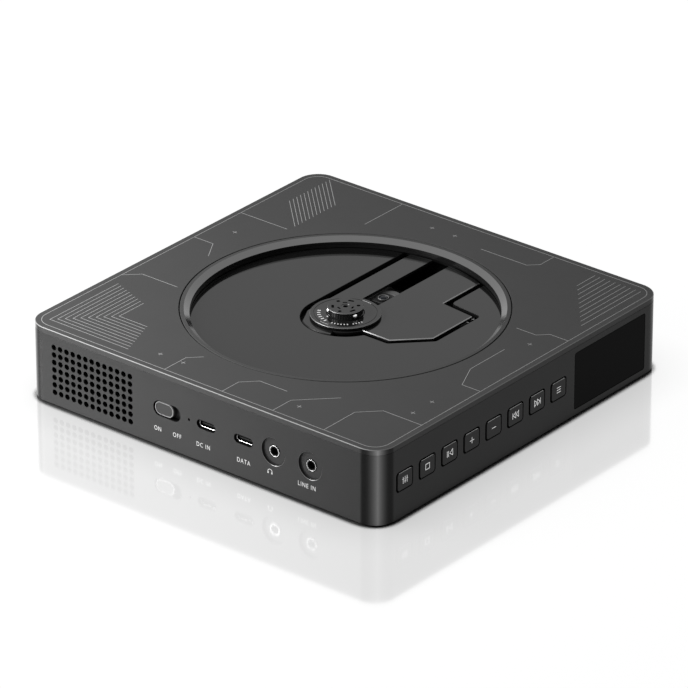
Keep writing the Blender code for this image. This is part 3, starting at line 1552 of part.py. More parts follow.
def make_jacks():
    """Two phone jacks: a body on the board and a metal nose in the wall."""
    half_width = JACK_BODY_WIDTH / 2
    back = wall_back + JACK_BODY_LENGTH
    body = box(
        "jack", (wall_back, -half_width, part_floor), (back, half_width, port_level + half_width)
    )
    nose_tip = -half_side + JACK_DISH_DEPTH - JACK_NOSE_PROUD
    nose_root = (wall_back + JACK_BORE, 0, port_level)
    nose_start = (nose_tip, 0, port_level)
    unite(body, rod("jack_nose", nose_start, nose_root, JACK_NOSE_RADIUS, 2 * SMALL_STEPS))
    bore_start = (nose_tip - CUT_OVERRUN, 0, port_level)
    bore_end = (nose_tip + JACK_BORE_DEPTH, 0, port_level)
    cut(body, rod("jack_bore", bore_start, bore_end, JACK_BORE, 2 * SMALL_STEPS))
    mesh = baked(body, "jack")
    for name, y in zip(("headphone_jack", "line_in_jack"), JACK_YS):
        jack = add_object(name, mesh.copy())
        jack.location.y = y
        finish_object(jack, "polished_metal")


def make_sockets():
    """Two oval sockets: a thin shell with a tongue, on four legs."""
    front = -half_side + SOCKET_RECESS
    back = front + SOCKET_LENGTH
    half_width = SOCKET_WIDTH / 2 - SOCKET_EDGE_GAP
    half_height = SOCKET_HEIGHT / 2 - SOCKET_EDGE_GAP
    low = (front, -half_width, port_level - half_height)
    high = (back, half_width, port_level + half_height)
    shell = stadium("socket", low, high, 0)
    hollow = stadium(
        "socket_hollow",
        (front - CUT_OVERRUN, low[1] + SOCKET_SHELL, low[2] + SOCKET_SHELL),
        (back - SOCKET_SHELL, high[1] - SOCKET_SHELL, high[2] - SOCKET_SHELL),
        0,
    )
    cut(shell, hollow)
    tongue = box(
        "socket_tongue",
        (front + SOCKET_RECESS, -SOCKET_TONGUE_WIDTH / 2, port_level - SOCKET_TONGUE / 2),
        (back - SOCKET_SHELL / 2, SOCKET_TONGUE_WIDTH / 2, port_level + SOCKET_TONGUE / 2),
    )
    unite(shell, tongue)
    legs = bmesh.new()
    leg_y = half_width - half_height - SOCKET_LEG
    leg_top = port_level - half_height + SOCKET_SHELL / 2
    for x in (wall_back + SOCKET_LEG, back - 2 * SOCKET_LEG):
        for side in (-1, 1):
            y = side * leg_y
            leg_low = (x, y - SOCKET_LEG / 2, part_floor)
            add_box(legs, leg_low, (x + SOCKET_LEG, y + SOCKET_LEG / 2, leg_top))
    unite(shell, object_from(legs, "socket_legs"))
    mesh = baked(shell, "socket")
    for name, y in zip(("power_socket", "data_socket"), SOCKET_YS):
        socket = add_object(name, mesh.copy())
        socket.location.y = y
        finish_object(socket, "polished_metal")


# The power switch rests at ON, the +Y end of its slot
thumb_length = SWITCH_SLOT_LENGTH - SWITCH_TRAVEL - 2 * SWITCH_EDGE_GAP
thumb_y = SWITCH_SLOT_Y + SWITCH_TRAVEL / 2
switch_front = wall_back + THUMB_FLANGE + SWITCH_BODY_STANDOFF


def make_switch_thumb():
    half_length = thumb_length / 2
    half_height = SWITCH_SLOT_HEIGHT / 2 - SWITCH_EDGE_GAP / 2
    front = -half_side + THUMB_RECESS
    thumb = stadium(
        "switch_thumb",
        (front, thumb_y - half_length, port_level - half_height),
        (wall_back + THUMB_FLANGE / 2, thumb_y + half_length, port_level + half_height),
        0,
    )
    flange_half = SWITCH_SLOT_LENGTH / 2 + SWITCH_TRAVEL / 2 + THUMB_FLANGE_MARGIN
    flange_height = SWITCH_SLOT_HEIGHT / 2 + THUMB_FLANGE_MARGIN
    flange = box(
        "thumb_flange",
        (wall_back, thumb_y - flange_half, port_level - min(flange_height, PORT_BOARD_DROP - FIT_GAP)),
        (wall_back + THUMB_FLANGE, thumb_y + flange_half, port_level + flange_height),
    )
    unite(thumb, flange)
    stem_half = THUMB_STEM_LENGTH / 2
    stem = box(
        "thumb_stem",
        (wall_back + THUMB_FLANGE / 2, thumb_y - stem_half, port_level - THUMB_STEM_HEIGHT / 2),
        (
            wall_back + THUMB_FLANGE + THUMB_STEM_REACH,
            thumb_y + stem_half,
            port_level + THUMB_STEM_HEIGHT / 2,
        ),
    )
    unite(thumb, stem)
    return finish_object(thumb, "black_plastic")


def make_switch_body():
    half_length = SWITCH_SLOT_LENGTH / 2 - SWITCH_BODY_MARGIN / 2
    low = (switch_front, SWITCH_SLOT_Y - half_length, part_floor)
    high = (
        switch_front + SWITCH_BODY_DEPTH,
        SWITCH_SLOT_Y + half_length,
        port_level + PORT_BOARD_DROP,
    )
    body = box("switch_body", low, high)
    stem_end = wall_back + THUMB_FLANGE + THUMB_STEM_REACH
    run = SWITCH_TRAVEL / 2 + THUMB_STEM_LENGTH / 2 + RUN_GAP
    half_height = THUMB_STEM_HEIGHT / 2 + RUN_GAP
    slot = box(
        "stem_slot",
        (switch_front - CUT_OVERRUN, SWITCH_SLOT_Y - run, port_level - half_height),
        (stem_end + RUN_GAP, SWITCH_SLOT_Y + run, port_level + half_height),
    )
    cut(body, slot)
    return finish_object(body, "zinc")


speaker_low = ledge_top + FIT_GAP
speaker_high = lip_bottom - FIT_GAP
speaker_back = wall_back + SPEAKER_DEPTH
speaker_middle = (speaker_low + speaker_high) / 2


def speaker_half(x, inset):
    """Half width and half height of the speaker's hollow at a depth, less an inset."""
    along = (x - wall_back) / (SPEAKER_DEPTH - SPEAKER_BACK_WALL)
    front_width = SPEAKER_LENGTH / 2 - SPEAKER_RIM
    front_height = (speaker_high - speaker_low) / 2 - SPEAKER_RIM
    return [
        front + (SPEAKER_BACK_RADIUS - front) * along - inset
        for front in (front_width, front_height)
    ]


def add_oval_cone(shape, start_x, end_x, inset, capped):
    """Adds an oval frustum along X that follows the speaker's slope."""
    made = bmesh.ops.create_cone(
        shape,
        cap_ends=capped,
        cap_tris=False,
        segments=2 * SMALL_STEPS,
        radius1=1.0,
        radius2=1.0,
        depth=2.0,
    )["verts"]
    for vertex in made:
        x = start_x if vertex.co.z < 0 else end_x
        half_width, half_height = speaker_half(x, inset)
        y = grille_y + vertex.co.x * half_width
        vertex.co = (x, y, speaker_middle + vertex.co.y * half_height)
    shape.normal_update()
    bmesh.ops.recalc_face_normals(shape, faces=shape.faces[:])


def make_speaker_frame():
    frame = rounded_box(
        "speaker_frame",
        (wall_back, grille_y - SPEAKER_LENGTH / 2, speaker_low),
        (speaker_back, grille_y + SPEAKER_LENGTH / 2, speaker_high),
        SPEAKER_RIM,
        0,
        SMALL_SEGMENTS,
    )
    hollow = bmesh.new()
    hollow_back = speaker_back - SPEAKER_BACK_WALL
    add_oval_cone(hollow, wall_back - CUT_OVERRUN, hollow_back, 0.0, True)
    cut(frame, object_from(hollow, "speaker_basin"))
    return finish_object(frame, "soft_black")


def make_speaker_cone():
    """The paper cone, a thin oval shell inside the frame."""
    shape = bmesh.new()
    inset = CONE_THICKNESS + 2 * FIT_GAP
    end = speaker_back - SPEAKER_BACK_WALL - inset
    add_oval_cone(shape, wall_back + FIT_GAP, end, inset, False)
    cone = object_from(shape, "speaker_cone")
    solidify = cone.modifiers.new("thickness", "SOLIDIFY")
    solidify.thickness = CONE_THICKNESS
    solidify.offset = 0.0
    return finish_object(cone, "paper")


def make_speaker_magnet():
    start = (speaker_back + FIT_GAP, grille_y, speaker_middle)
    end = (speaker_back + FIT_GAP + MAGNET_DEPTH, grille_y, speaker_middle)
    magnet = rod("speaker_magnet", start, end, MAGNET_RADIUS, 2 * SMALL_STEPS)
    return finish_object(magnet, "steel")


def make_keys():
    """Eight keys: a cap in its opening, a flange behind the wall and a stem."""
    half_width = KEY_WIDTH / 2
    half_height = KEY_HEIGHT / 2
    low = (-half_width, -half_side + KEY_RECESS, -half_height)
    high = (half_width, key_flange_back - KEY_FLANGE_THICKNESS / 2, half_height)
    cap = rounded_box("key", low, high, KEY_CORNER, 1, SMALL_SEGMENTS)
    flange = box(
        "key_flange",
        (low[0] - KEY_FLANGE, key_flange_front, low[2] - KEY_FLANGE),
        (high[0] + KEY_FLANGE, key_flange_back, high[2] + KEY_FLANGE),
    )
    unite(cap, flange)
    stem_half = KEY_STEM / 2
    stem = box(
        "key_stem",
        (-stem_half, key_flange_front + KEY_FLANGE_THICKNESS / 2, -stem_half),
        (stem_half, key_stem_back, stem_half),
    )
    unite(cap, stem)
    mesh = baked(cap, "key")
    for name, x in zip(KEY_NAMES, key_xs()):
        key = add_object(name, mesh.copy())
        set_origin(key, (0.0, -half_side, 0.0))
        key.location = (x, -half_side, key_level)
        finish_object(key, "black_plastic")


def make_key_board():
    """The board behind the keys, with a small switch soldered on for each."""
    half_height = key_post_rise + 2 * KEY_POST_RADIUS
    low_z = max(key_level - half_height, ledge_top + FIT_GAP)
    board = box(
        "key_board",
        (first_key_x - KEY_BOARD_MARGIN, key_board_front, low_z),
        (last_key_x + KEY_BOARD_MARGIN, key_board_back, key_level + half_height),
    )
    holes = bmesh.new()
    for place in key_post_places(key_board_front - CUT_OVERRUN):
        end = Vector((place.x, key_board_back + CUT_OVERRUN, place.z))
        add_rod(holes, place, end, PIN_RADIUS + FIT_GAP, PIN_SIDES)
    cut(board, object_from(holes, "key_board_holes"))
    half = TACT_SIZE / 2
    solder_level = key_board_front + KEY_BOARD_THICKNESS / 2
    switches = bmesh.new()
    plungers = bmesh.new()
    for x in key_xs():
        low = (x - half, tact_front, key_level - half)
        add_box(switches, low, (x + half, solder_level, key_level + half))
        start = (x, plunger_front, key_level)
        end = (x, tact_front + TACT_HEIGHT / 2, key_level)
        add_rod(plungers, start, end, TACT_PLUNGER_RADIUS, PIN_SIDES)
    unite(board, object_from(switches, "tact_switches"))
    unite(board, object_from(plungers, "tact_plungers"))
    return finish_object(board, "board")


def make_display_window():
    front = -half_side + DISPLAY_RECESS
    glass = rounded_box(
        "display_window",
        (display_left + DISPLAY_GAP, front, display_bottom + DISPLAY_GAP),
        (
            display_left + DISPLAY_LENGTH - DISPLAY_GAP,
            front + DISPLAY_GLASS,
            display_top - DISPLAY_GAP,
        ),
        DISPLAY_CORNER - DISPLAY_GAP,
        1,
        SMALL_SEGMENTS,
    )
    return finish_object(glass, "window")


def make_display_module():
    low = (
        display_left + DISPLAY_LEDGE + FIT_GAP,
        -half_side + DISPLAY_RECESS + DISPLAY_GLASS + FIT_GAP,
        display_bottom + DISPLAY_LEDGE + FIT_GAP,
    )
    high = (
        display_left + DISPLAY_LENGTH - DISPLAY_LEDGE - FIT_GAP,
        -half_side + DISPLAY_RECESS + DISPLAY_GLASS + FIT_GAP + DISPLAY_MODULE_DEPTH,
        display_top - DISPLAY_LEDGE - FIT_GAP,
    )
    return finish_object(box("display_module", low, high), "chip")


def make_battery_pack():
    pack = rounded_box(
        "battery_pack",
        (battery_left, BATTERY_Y - BATTERY_WIDTH / 2, battery_bottom),
        (-battery_left, BATTERY_Y + BATTERY_WIDTH / 2, battery_top),
        BATTERY_CORNER,
        2,
        SMALL_SEGMENTS,
    )
    return finish_object(pack, "battery_wrap")


def make_battery_lead():
    """A sheathed cable from the battery's -X end up to the main board's underside."""
    start = Vector((battery_left - FIT_GAP, LEAD_Y, (battery_bottom + battery_top) / 2))
    end = Vector((board_right - LEAD_INSET, LEAD_Y, board_bottom - FIT_GAP))
    start_handle = Vector((end.x, LEAD_Y, start.z))
    end_handle = Vector((end.x, LEAD_Y, start.z))
    curve = bpy.data.curves.new("battery_lead", "CURVE")
    curve.dimensions = "3D"
    curve.bevel_depth = LEAD_RADIUS
    curve.bevel_resolution = 2
    curve.use_fill_caps = True
    spline = curve.splines.new("POLY")
    spline.points.add(LEAD_POINTS - 1)
    for index in range(LEAD_POINTS):
        along = index / (LEAD_POINTS - 1)
        left = 1 - along
        point = left**3 * start + 3 * left**2 * along * start_handle
        point += 3 * left * along**2 * end_handle + along**3 * end
        spline.points[index].co = (*point, 1.0)
    lead = add_object("battery_lead", curve)
    set_material(lead, "rubber")
    return lead


make_top_cover()
make_side_housing()
make_bottom_plate()
make_rubber_feet()
make_case_screws()
make_well_ring()
make_well_floor()
make_deck_cover()
make_mech_chassis()
make_damper_grommets()
make_spindle_motor()
make_spindle_shaft()
make_turntable()
make_turntable_hub()
make_hub_cap()
make_clamp_balls()
make_guide_rods()
make_leadscrew()
make_leadscrew_gear()
make_motor_pinion()
make_sled_motor()
make_pickup_sled()
make_actuator_yoke()
make_lens_holder()
make_objective_lens()
make_main_board()
make_jacks()
make_sockets()
make_switch_thumb()
make_switch_body()
make_speaker_frame()
make_speaker_cone()
make_speaker_magnet()
make_keys()
make_key_board()
make_display_window()
make_display_module()
make_battery_pack()
make_battery_lead()
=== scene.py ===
"""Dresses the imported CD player: finishes, prints, fine forms, floor, lamps and camera."""

import math

import bmesh
import bpy
from mathutils import Matrix, Vector


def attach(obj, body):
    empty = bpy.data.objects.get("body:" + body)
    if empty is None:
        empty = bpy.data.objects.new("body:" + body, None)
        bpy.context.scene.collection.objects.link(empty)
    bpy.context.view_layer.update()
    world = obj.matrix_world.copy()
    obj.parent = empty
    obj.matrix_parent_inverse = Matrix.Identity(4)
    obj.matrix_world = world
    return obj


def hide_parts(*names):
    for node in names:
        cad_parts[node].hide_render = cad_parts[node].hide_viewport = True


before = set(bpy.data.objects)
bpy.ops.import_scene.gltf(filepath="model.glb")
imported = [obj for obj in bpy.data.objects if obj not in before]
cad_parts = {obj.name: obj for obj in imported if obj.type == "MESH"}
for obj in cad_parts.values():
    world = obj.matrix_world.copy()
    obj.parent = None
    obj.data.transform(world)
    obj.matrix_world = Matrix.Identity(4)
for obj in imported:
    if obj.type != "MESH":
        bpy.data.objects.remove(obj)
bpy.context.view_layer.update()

scene = bpy.context.scene
scene.view_settings.view_transform = "Standard"

# Camera of the photograph
camera_data = bpy.data.cameras.new("photo_camera")
camera_data.lens = 324.756
camera_data.sensor_width = 36.0
camera_data.clip_end = 50.0
camera = bpy.data.objects.new("photo_camera", camera_data)
camera.location = (-1.74225, -1.42700, 1.15691)
camera.rotation_euler = (math.radians(63.1460), math.radians(0.0670), math.radians(-50.6984))
scene.collection.objects.link(camera)
scene.camera = camera

# Levels, radii and places that several pieces share, in metres
MILLIMETRE = 0.001
SKIN = 0.00002  # skins lie this far under the prints' outer faces
HALF_SIDE = 0.0920
CASE_TOP = 0.0340
CASE_CORNER = 0.0097
BAND_BOTTOM = 0.0315
OPENING_RADIUS = 0.0677
FLOOR_TOP = 0.0293
DECK_TOP = 0.0296
TABLE_TOP = 0.0310
CUT_DEPTH = 0.0034  # holes reach this deep, through the wall
CUT_REACH = 0.0005  # their cutters start this far outside it
PORT_LEVEL = 0.0175
LAMP_SPOT = -0.0050
SOCKET_SPOTS = {"power": 0.0039, "data": 0.0232}
JACK_SPOTS = {"phone": 0.0385, "line": 0.0573}
KEY_LEVEL = 0.01665
KEY_PITCH = 0.0140429
FIRST_KEY = -0.0757
KEY_WIDTH = 0.00905
KEY_HEIGHT = 0.00775
KEY_CORNER = 0.0012
KEY_FRONT = -0.00004
WINDOW_MIDDLE = (0.0565, 0.01605)
LENS_MIDDLE = (0.0244, 0.0)
BALL_ANGLES = (13.0, 133.0, 253.0)
LABEL_LEVEL = 0.0082
LETTER_HEIGHT = 0.00196
LETTER_WIDTH = 0.80  # of the plain letters' own width
SIGN_UNIT = 0.00134
SIGN_LINE = 0.00027
TOP_LINE = 0.00022

# Each key's plain sign, as paths in sign units; a path of more than two points is closed
SIGNS = {
    "equaliser": (
        ((-0.9, -1.1), (-0.9, 1.1)), ((-1.28, 0.4), (-0.52, 0.4)),
        ((0.0, -1.1), (0.0, 1.1)), ((-0.38, -0.45), (0.38, -0.45)),
        ((0.9, -1.1), (0.9, 1.1)), ((0.52, 0.15), (1.28, 0.15)),
    ),
    "stop": (((-0.9, -0.9), (0.9, -0.9), (0.9, 0.9), (-0.9, 0.9)),),
    "play_pause": (
        ((-1.25, -1.0), (-1.25, 1.0)), ((-0.65, -1.0), (-0.65, 1.0)),
        ((-0.05, 0.0), (1.3, 1.0), (1.3, -1.0)),
    ),
    "volume_up": (((-1.0, 0.0), (1.0, 0.0)), ((0.0, -1.0), (0.0, 1.0))),
    "volume_down": (((-1.0, 0.0), (1.0, 0.0)),),
    "next": (
        ((-1.45, -1.0), (-1.45, 1.0)), ((-1.2, 0.0), (0.0, 1.0), (0.0, -1.0)),
        ((0.15, 0.0), (1.35, 1.0), (1.35, -1.0)),
    ),
    "previous": (
        ((1.45, -1.0), (1.45, 1.0)), ((1.2, 0.0), (0.0, 1.0), (0.0, -1.0)),
        ((-0.15, 0.0), (-1.35, 1.0), (-1.35, -1.0)),
    ),
    "menu": tuple(((-0.95, y), (0.95, y)) for y in (-0.8, 0.0, 0.8)),
}
KEY_SPOTS = {name: (FIRST_KEY + index * KEY_PITCH, KEY_LEVEL) for index, name in enumerate(SIGNS)}

# Crosses and long thin lines with sloping jogs on the top face, in millimetres
TOP_CROSSES = (
    (-80, 30), (-80, 18), (-80, -42), (-56, -80), (-44, -80), (20, -79), (79, 6), (79, 18), (24, 79),
)
TOP_PATHS = (
    ((-89.2, -10), (-79, -10), (-73, -16), (-73, -30)),
    ((-89.2, -62), (-70, -62), (-62, -70), (-62, -89.2)),
    ((-25, -89.2), (-25, -80), (-12, -74), (10, -74)),
    ((89.2, -38), (80, -38), (76, -34), (76, -10)),
    ((89.2, 42), (64, 42)),
    ((10, 89.2), (10, 79), (0, 73)),
    ((40, 89.2), (40, 64)),
    ((-36, 89.2), (-30, 83), (-30, 64)),
    ((-89.2, 20), (-76, 20), (-71, 15)),
    ((-89.2, -36), (-78, -36), (-64, -50)),
    ((32, -89.2), (32, -80), (28, -76), (28, -66)),
)

# Places on the walls: along, up and out of the face, seen from outside
TOP_FACE = Matrix.Translation((0.0, 0.0, CASE_TOP))
PORT_WALL = Matrix(((0, 0, -1, -HALF_SIDE), (-1, 0, 0, 0), (0, 1, 0, 0), (0, 0, 0, 1)))
KEY_WALL = Matrix(((1, 0, 0, 0), (0, 0, -1, -HALF_SIDE), (0, 1, 0, 0), (0, 0, 0, 1)))


# Shader values and nodes
class Value:
    """A number that varies over a surface, held as the socket that gives it."""

    def __init__(self, graph, socket):
        self.graph = graph
        self.socket = socket

    def maths(self, operation, *numbers):
        return self.graph.value("ShaderNodeMath", {"operation": operation}, dict(enumerate(numbers)))

    def __add__(self, other):
        return self.maths("ADD", self, other)

    def __sub__(self, other):
        return self.maths("SUBTRACT", self, other)

    def __rsub__(self, other):
        return self.maths("SUBTRACT", other, self)

    def __mul__(self, other):
        return self.maths("MULTIPLY", self, other)

    def __abs__(self):
        return self.maths("ABSOLUTE", self)

    def most(self, other):
        return self.maths("MAXIMUM", self, other)

    def step(self, low, high):
        """Runs from 0 at low to 1 at high."""
        inputs = {"Value": self, "From Min": low, "From Max": high}
        return self.graph.value("ShaderNodeMapRange", {"clamp": True}, inputs)

    __radd__ = __add__
    __rmul__ = __mul__


class Graph:
    """A node tree, filled through one method."""

    def __init__(self, tree):
        self.tree = tree
        tree.nodes.clear()

    def node(self, kind, settings=None, inputs=None):
        made = self.tree.nodes.new(kind)
        for name, value in (settings or {}).items():
            setattr(made, name, value)
        for name, value in (inputs or {}).items():
            if isinstance(value, Value):
                value = value.socket
            if isinstance(value, bpy.types.NodeSocket):
                self.tree.links.new(value, made.inputs[name])
            else:
                made.inputs[name].default_value = value
        return made

    def value(self, kind, settings=None, inputs=None, output=0):
        """Adds a node and gives one of its outputs as a number."""
        return Value(self, self.node(kind, settings, inputs).outputs[output])

    def noise(self, place, scale, detail=2.0, rough=0.5):
        inputs = {"Vector": place, "Scale": scale, "Detail": detail, "Roughness": rough}
        return self.value("ShaderNodeTexNoise", None, inputs)

    def mix(self, factor, first, second):
        """Mixes two colours, each a grey, a triple or a socket."""
        made = self.node("ShaderNodeMix", {"data_type": "RGBA"}, {"Factor": factor})
        for index, colour in ((6, first), (7, second)):
            if isinstance(colour, bpy.types.NodeSocket):
                self.tree.links.new(colour, made.inputs[index])
            else:
                made.inputs[index].default_value = shade(colour)
        return made.outputs[2]


def shade(colour):
    """Gives a grey or a triple as the four numbers of a colour socket."""
    if isinstance(colour, (int, float)):
        colour = (colour, colour, colour)
    return (*colour, 1.0)


def start_finish(name):
    """Starts a material, and gives it with its tree and its place on the piece."""
    made = bpy.data.materials.new(name)
    made.use_nodes = True
    graph = Graph(made.node_tree)
    return made, graph, graph.node("ShaderNodeTexCoord").outputs["Object"]


def end_finish(graph, inputs):
    """Ends a material with the shader that these inputs feed."""
    shader = graph.node("ShaderNodeBsdfPrincipled", None, inputs)
    graph.node("ShaderNodeOutputMaterial", None, {"Surface": shader.outputs[0]})


def finish(
    name,
    colour,
    roughness,
    metallic=0.0,
    specular=0.5,
    mottle=0.08,
    mottle_scale=45.0,
    grain=3500.0,
    depth=6.0,
    smudge=0.06,
    stretch=(1.0, 1.0, 1.0),
    wear_and_painted_light=(),
):
    """Makes a finish: a mottled colour, uneven gloss, and a grain with its depth in micrometres.

    Each marked place is a function that marks it, with the grey that it takes there: wear on the case's
    edges, and a painted highlight with painted shade beside it on the upright corners.
    """
    made, graph, place = start_finish(name)
    stretched = graph.node("ShaderNodeMapping", None, {"Vector": place, "Scale": stretch}).outputs[0]
    broad = graph.noise(place, mottle_scale, 3.0)
    fine = graph.noise(stretched, grain, 2.0)
    patches = graph.noise(place, mottle_scale * 3.1, 4.0, 0.6)
    triple = shade(colour)[:3]
    dark = tuple(part * (1.0 - mottle) for part in triple)
    light = tuple(min(1.0, part * (1.0 + mottle)) for part in triple)
    painted = graph.mix(broad * 0.6 + fine * 0.4, dark, light)
    gloss = roughness + (patches - 0.5) * (2.0 * smudge) + (fine - 0.5) * smudge
    # Greys of wear, and the corners' painted highlight and painted shade, go into the colour
    for marked, marked_grey in wear_and_painted_light:
        mask = marked(graph, place) * (graph.noise(place, 1400.0, 3.0, 0.7) * 0.3 + 0.8)
        painted = graph.mix(mask, painted, marked_grey)
        gloss = gloss - mask * (roughness * 0.2)
    bump = graph.node("ShaderNodeBump", None, {"Strength": 1.0, "Distance": depth * 1e-6, "Height": fine})
    inputs = {
        "Base Color": painted,
        "Roughness": gloss,
        "Metallic": metallic,
        "Specular IOR Level": specular,
        "Normal": bump.outputs[0],
    }
    end_finish(graph, inputs)
    made.diffuse_color = shade(colour)
    return made


def place_parts(graph, place):
    """Gives a spot's distances from the two middle planes, and its height."""
    parts = graph.node("ShaderNodeSeparateXYZ", None, {0: place}).outputs
    x, y, z = (Value(graph, part) for part in parts)
    return abs(x), abs(y), z


def case_edges(graph, place):
    """Marks the case's upright corners and its upper edge, where hands rub."""
    x, y, z = place_parts(graph, place)
    corner = (x + y).step(2 * HALF_SIDE - 0.0068, 2 * HALF_SIDE - 0.0045)
    upper = z.step(CASE_TOP - 0.0006, CASE_TOP - 0.0001)
    side = x.most(y).step(HALF_SIDE - 0.0008, HALF_SIDE - 0.0002)
    return corner.most(upper * side) * 0.5


def corner_turn(graph, place):
    """Gives how far round an upright corner a spot lies from the corner's middle, in radians."""
    x, y = ((part - (HALF_SIDE - CASE_CORNER)).most(0.0) for part in place_parts(graph, place)[:2])
    return abs(x.maths("ARCTAN2", y, x) - math.radians(45.0))


def painted_corner_highlight(graph, place):
    """Marks a painted highlight: a bright streak down the middle of each upright corner."""
    streak = 1.0 - corner_turn(graph, place).step(0.0, 0.66)
    return streak * streak * streak


def painted_corner_shade(graph, place):
    """Marks painted shade: dark strips on both sides of the painted highlight."""
    away = corner_turn(graph, place)
    return away.step(0.10, 0.42) * (1.0 - away.step(0.66, 0.77))


case_satin = finish(
    "case_satin", 0.040, 0.42, specular=0.03, grain=5200.0, depth=4.0, smudge=0.05,
    wear_and_painted_light=((case_edges, 0.050),),
)
# The band and the wall take a painted highlight down each upright corner, with painted shade on both sides of
# it
band_satin = finish(
    "band_satin", 0.024, 0.34, specular=0.08, grain=5200.0, depth=4.0, smudge=0.05,
    wear_and_painted_light=((painted_corner_shade, 0.006), (painted_corner_highlight, 0.28)),
)
wall_satin = finish(
    "wall_satin", 0.016, 0.34, specular=0.07, grain=5200.0, depth=4.0, smudge=0.05,
    wear_and_painted_light=((painted_corner_shade, 0.004), (painted_corner_highlight, 0.19)),
)
# A lighter grey for the chamfer round the top edge: a painted highlight
chamfer_highlight = finish("chamfer_highlight", 0.15, 0.36, specular=0.12, grain=2600.0, smudge=0.05)
cone_polish = finish(
    "cone_polish", 0.14, 0.12, metallic=0.85, specular=0.30, grain=1800.0, depth=0.6,
    stretch=(1.0, 1.0, 6.0), smudge=0.03,
)
well_gloss = finish("well_gloss", 0.004, 0.07, specular=0.24, grain=4200.0, depth=0.4, smudge=0.02)
# A near-black for the well's lower wall, the gaps round the deck, the sides of deck and platter, the
# platter's underside and the walls' underside: painted shade
painted_gap_shade = finish("painted_gap_shade", 0.005, 0.30, specular=0.08, grain=2800.0, depth=2.0)
# A near-black for the walls of holes, slots, bores and recesses and for the keys' flanks: painted shade
painted_hole_shade = finish("painted_hole_shade", 0.002, 0.8, specular=0.02, grain=2500.0)
deck_gloss = finish("deck_gloss", 0.006, 0.08, specular=0.24, grain=4200.0, depth=0.4, smudge=0.02)
# A lighter metal for the deck's bevel: a painted highlight
deck_bevel_highlight = finish("deck_bevel_highlight", 0.22, 0.34, metallic=0.7, grain=2400.0)
table_black = finish("table_black", 0.006, 0.10, specular=0.24, grain=3000.0, depth=0.6)
# A lighter metal for the chamfers on the platter's and the cap's rims: a painted highlight
rim_highlight = finish("rim_highlight", 0.11, 0.38, metallic=0.4, grain=2600.0, depth=1.0)
hub_black = finish("hub_black", 0.008, 0.22, specular=0.25, grain=2400.0, depth=1.0)
ball_chrome = finish("ball_chrome", 0.86, 0.06, metallic=1.0, grain=1500.0, depth=1.0, smudge=0.02)
ring_chrome = finish("ring_chrome", 0.34, 0.16, metallic=1.0, grain=2600.0, depth=2.0, smudge=0.04)
key_black = finish("key_black", 0.018, 0.40, specular=0.07, grain=4800.0, depth=4.0)
thumb_satin = finish("thumb_satin", 0.022, 0.40, specular=0.08, grain=4800.0, depth=4.0)
# A lighter metal: the lens trim's own grey, and a painted highlight on the jack dishes' mouths and the switch
# thumb's bevel
trim_grey_and_edge_highlight = finish("trim_grey_and_edge_highlight", 0.10, 0.30, metallic=0.4, grain=2600.0, depth=2.0)
# A lighter metal for the keys' bevels: a painted highlight
key_edge_highlight = finish("key_edge_highlight", 0.30, 0.28, metallic=0.5, grain=2600.0, depth=2.0)
glass_black = finish("glass_black", 0.0020, 0.16, specular=0.015, grain=900.0, depth=1.0, smudge=0.04)
print_line = finish("print_line", 0.24, 0.55, specular=0.1, grain=6000.0, mottle=0.25, mottle_scale=300.0)
print_label = finish("print_label", 0.44, 0.55, specular=0.2, grain=6000.0)
print_white = finish("print_white", 0.90, 0.50, specular=0.3, grain=6000.0)
foot_rubber = finish("foot_rubber", 0.012, 0.85, specular=0.2, grain=1800.0, depth=30.0)
screw_steel = finish("screw_steel", 0.10, 0.38, metallic=1.0, grain=2200.0, stretch=(1.0, 6.0, 1.0))
base_matt = finish("base_matt", 0.018, 0.62, specular=0.3, grain=1600.0, depth=20.0, mottle=0.15)
damper_rubber = finish("damper_rubber", (0.035, 0.030, 0.028), 0.8, specular=0.25, grain=1400.0, depth=30.0)
motor_steel = finish(
    "motor_steel", (0.55, 0.56, 0.58), 0.30, metallic=1.0, grain=2200.0, stretch=(1.0, 1.0, 8.0),
)
shaft_steel = finish("shaft_steel", 0.34, 0.20, metallic=1.0, grain=2600.0, stretch=(0.2, 6.0, 6.0))
gear_nylon = finish("gear_nylon", (0.62, 0.60, 0.54), 0.5, specular=0.4, grain=1200.0, mottle=0.05)
soft_black = finish("soft_black", 0.006, 0.5, specular=0.10, grain=1500.0, depth=10.0)
sled_black = finish("sled_black", 0.006, 0.42, specular=0.10, grain=1700.0, depth=10.0)
lip_steel = finish("lip_steel", 0.70, 0.30, metallic=0.6, specular=0.2, grain=2600.0, depth=1.0)
chassis_black = finish("chassis_black", 0.008, 0.55, specular=0.10, grain=1300.0, mottle=0.2)
lens_glass = finish(
    "lens_glass", (0.003, 0.004, 0.006), 0.06, specular=0.08, grain=600.0, depth=0.5, smudge=0.01,
)
guard_grey = finish("guard_grey", 0.05, 0.40, specular=0.2, grain=1700.0, depth=4.0)
paper_cone = finish(
    "paper_cone", (0.030, 0.028, 0.026), 0.9, specular=0.15, grain=900.0, depth=50.0, mottle=0.3,
)
battery_wrap = finish("battery_wrap", (0.012, 0.016, 0.026), 0.34, specular=0.5, grain=500.0, depth=10.0)
lead_sleeve = finish("lead_sleeve", 0.03, 0.45, specular=0.45, grain=1400.0)


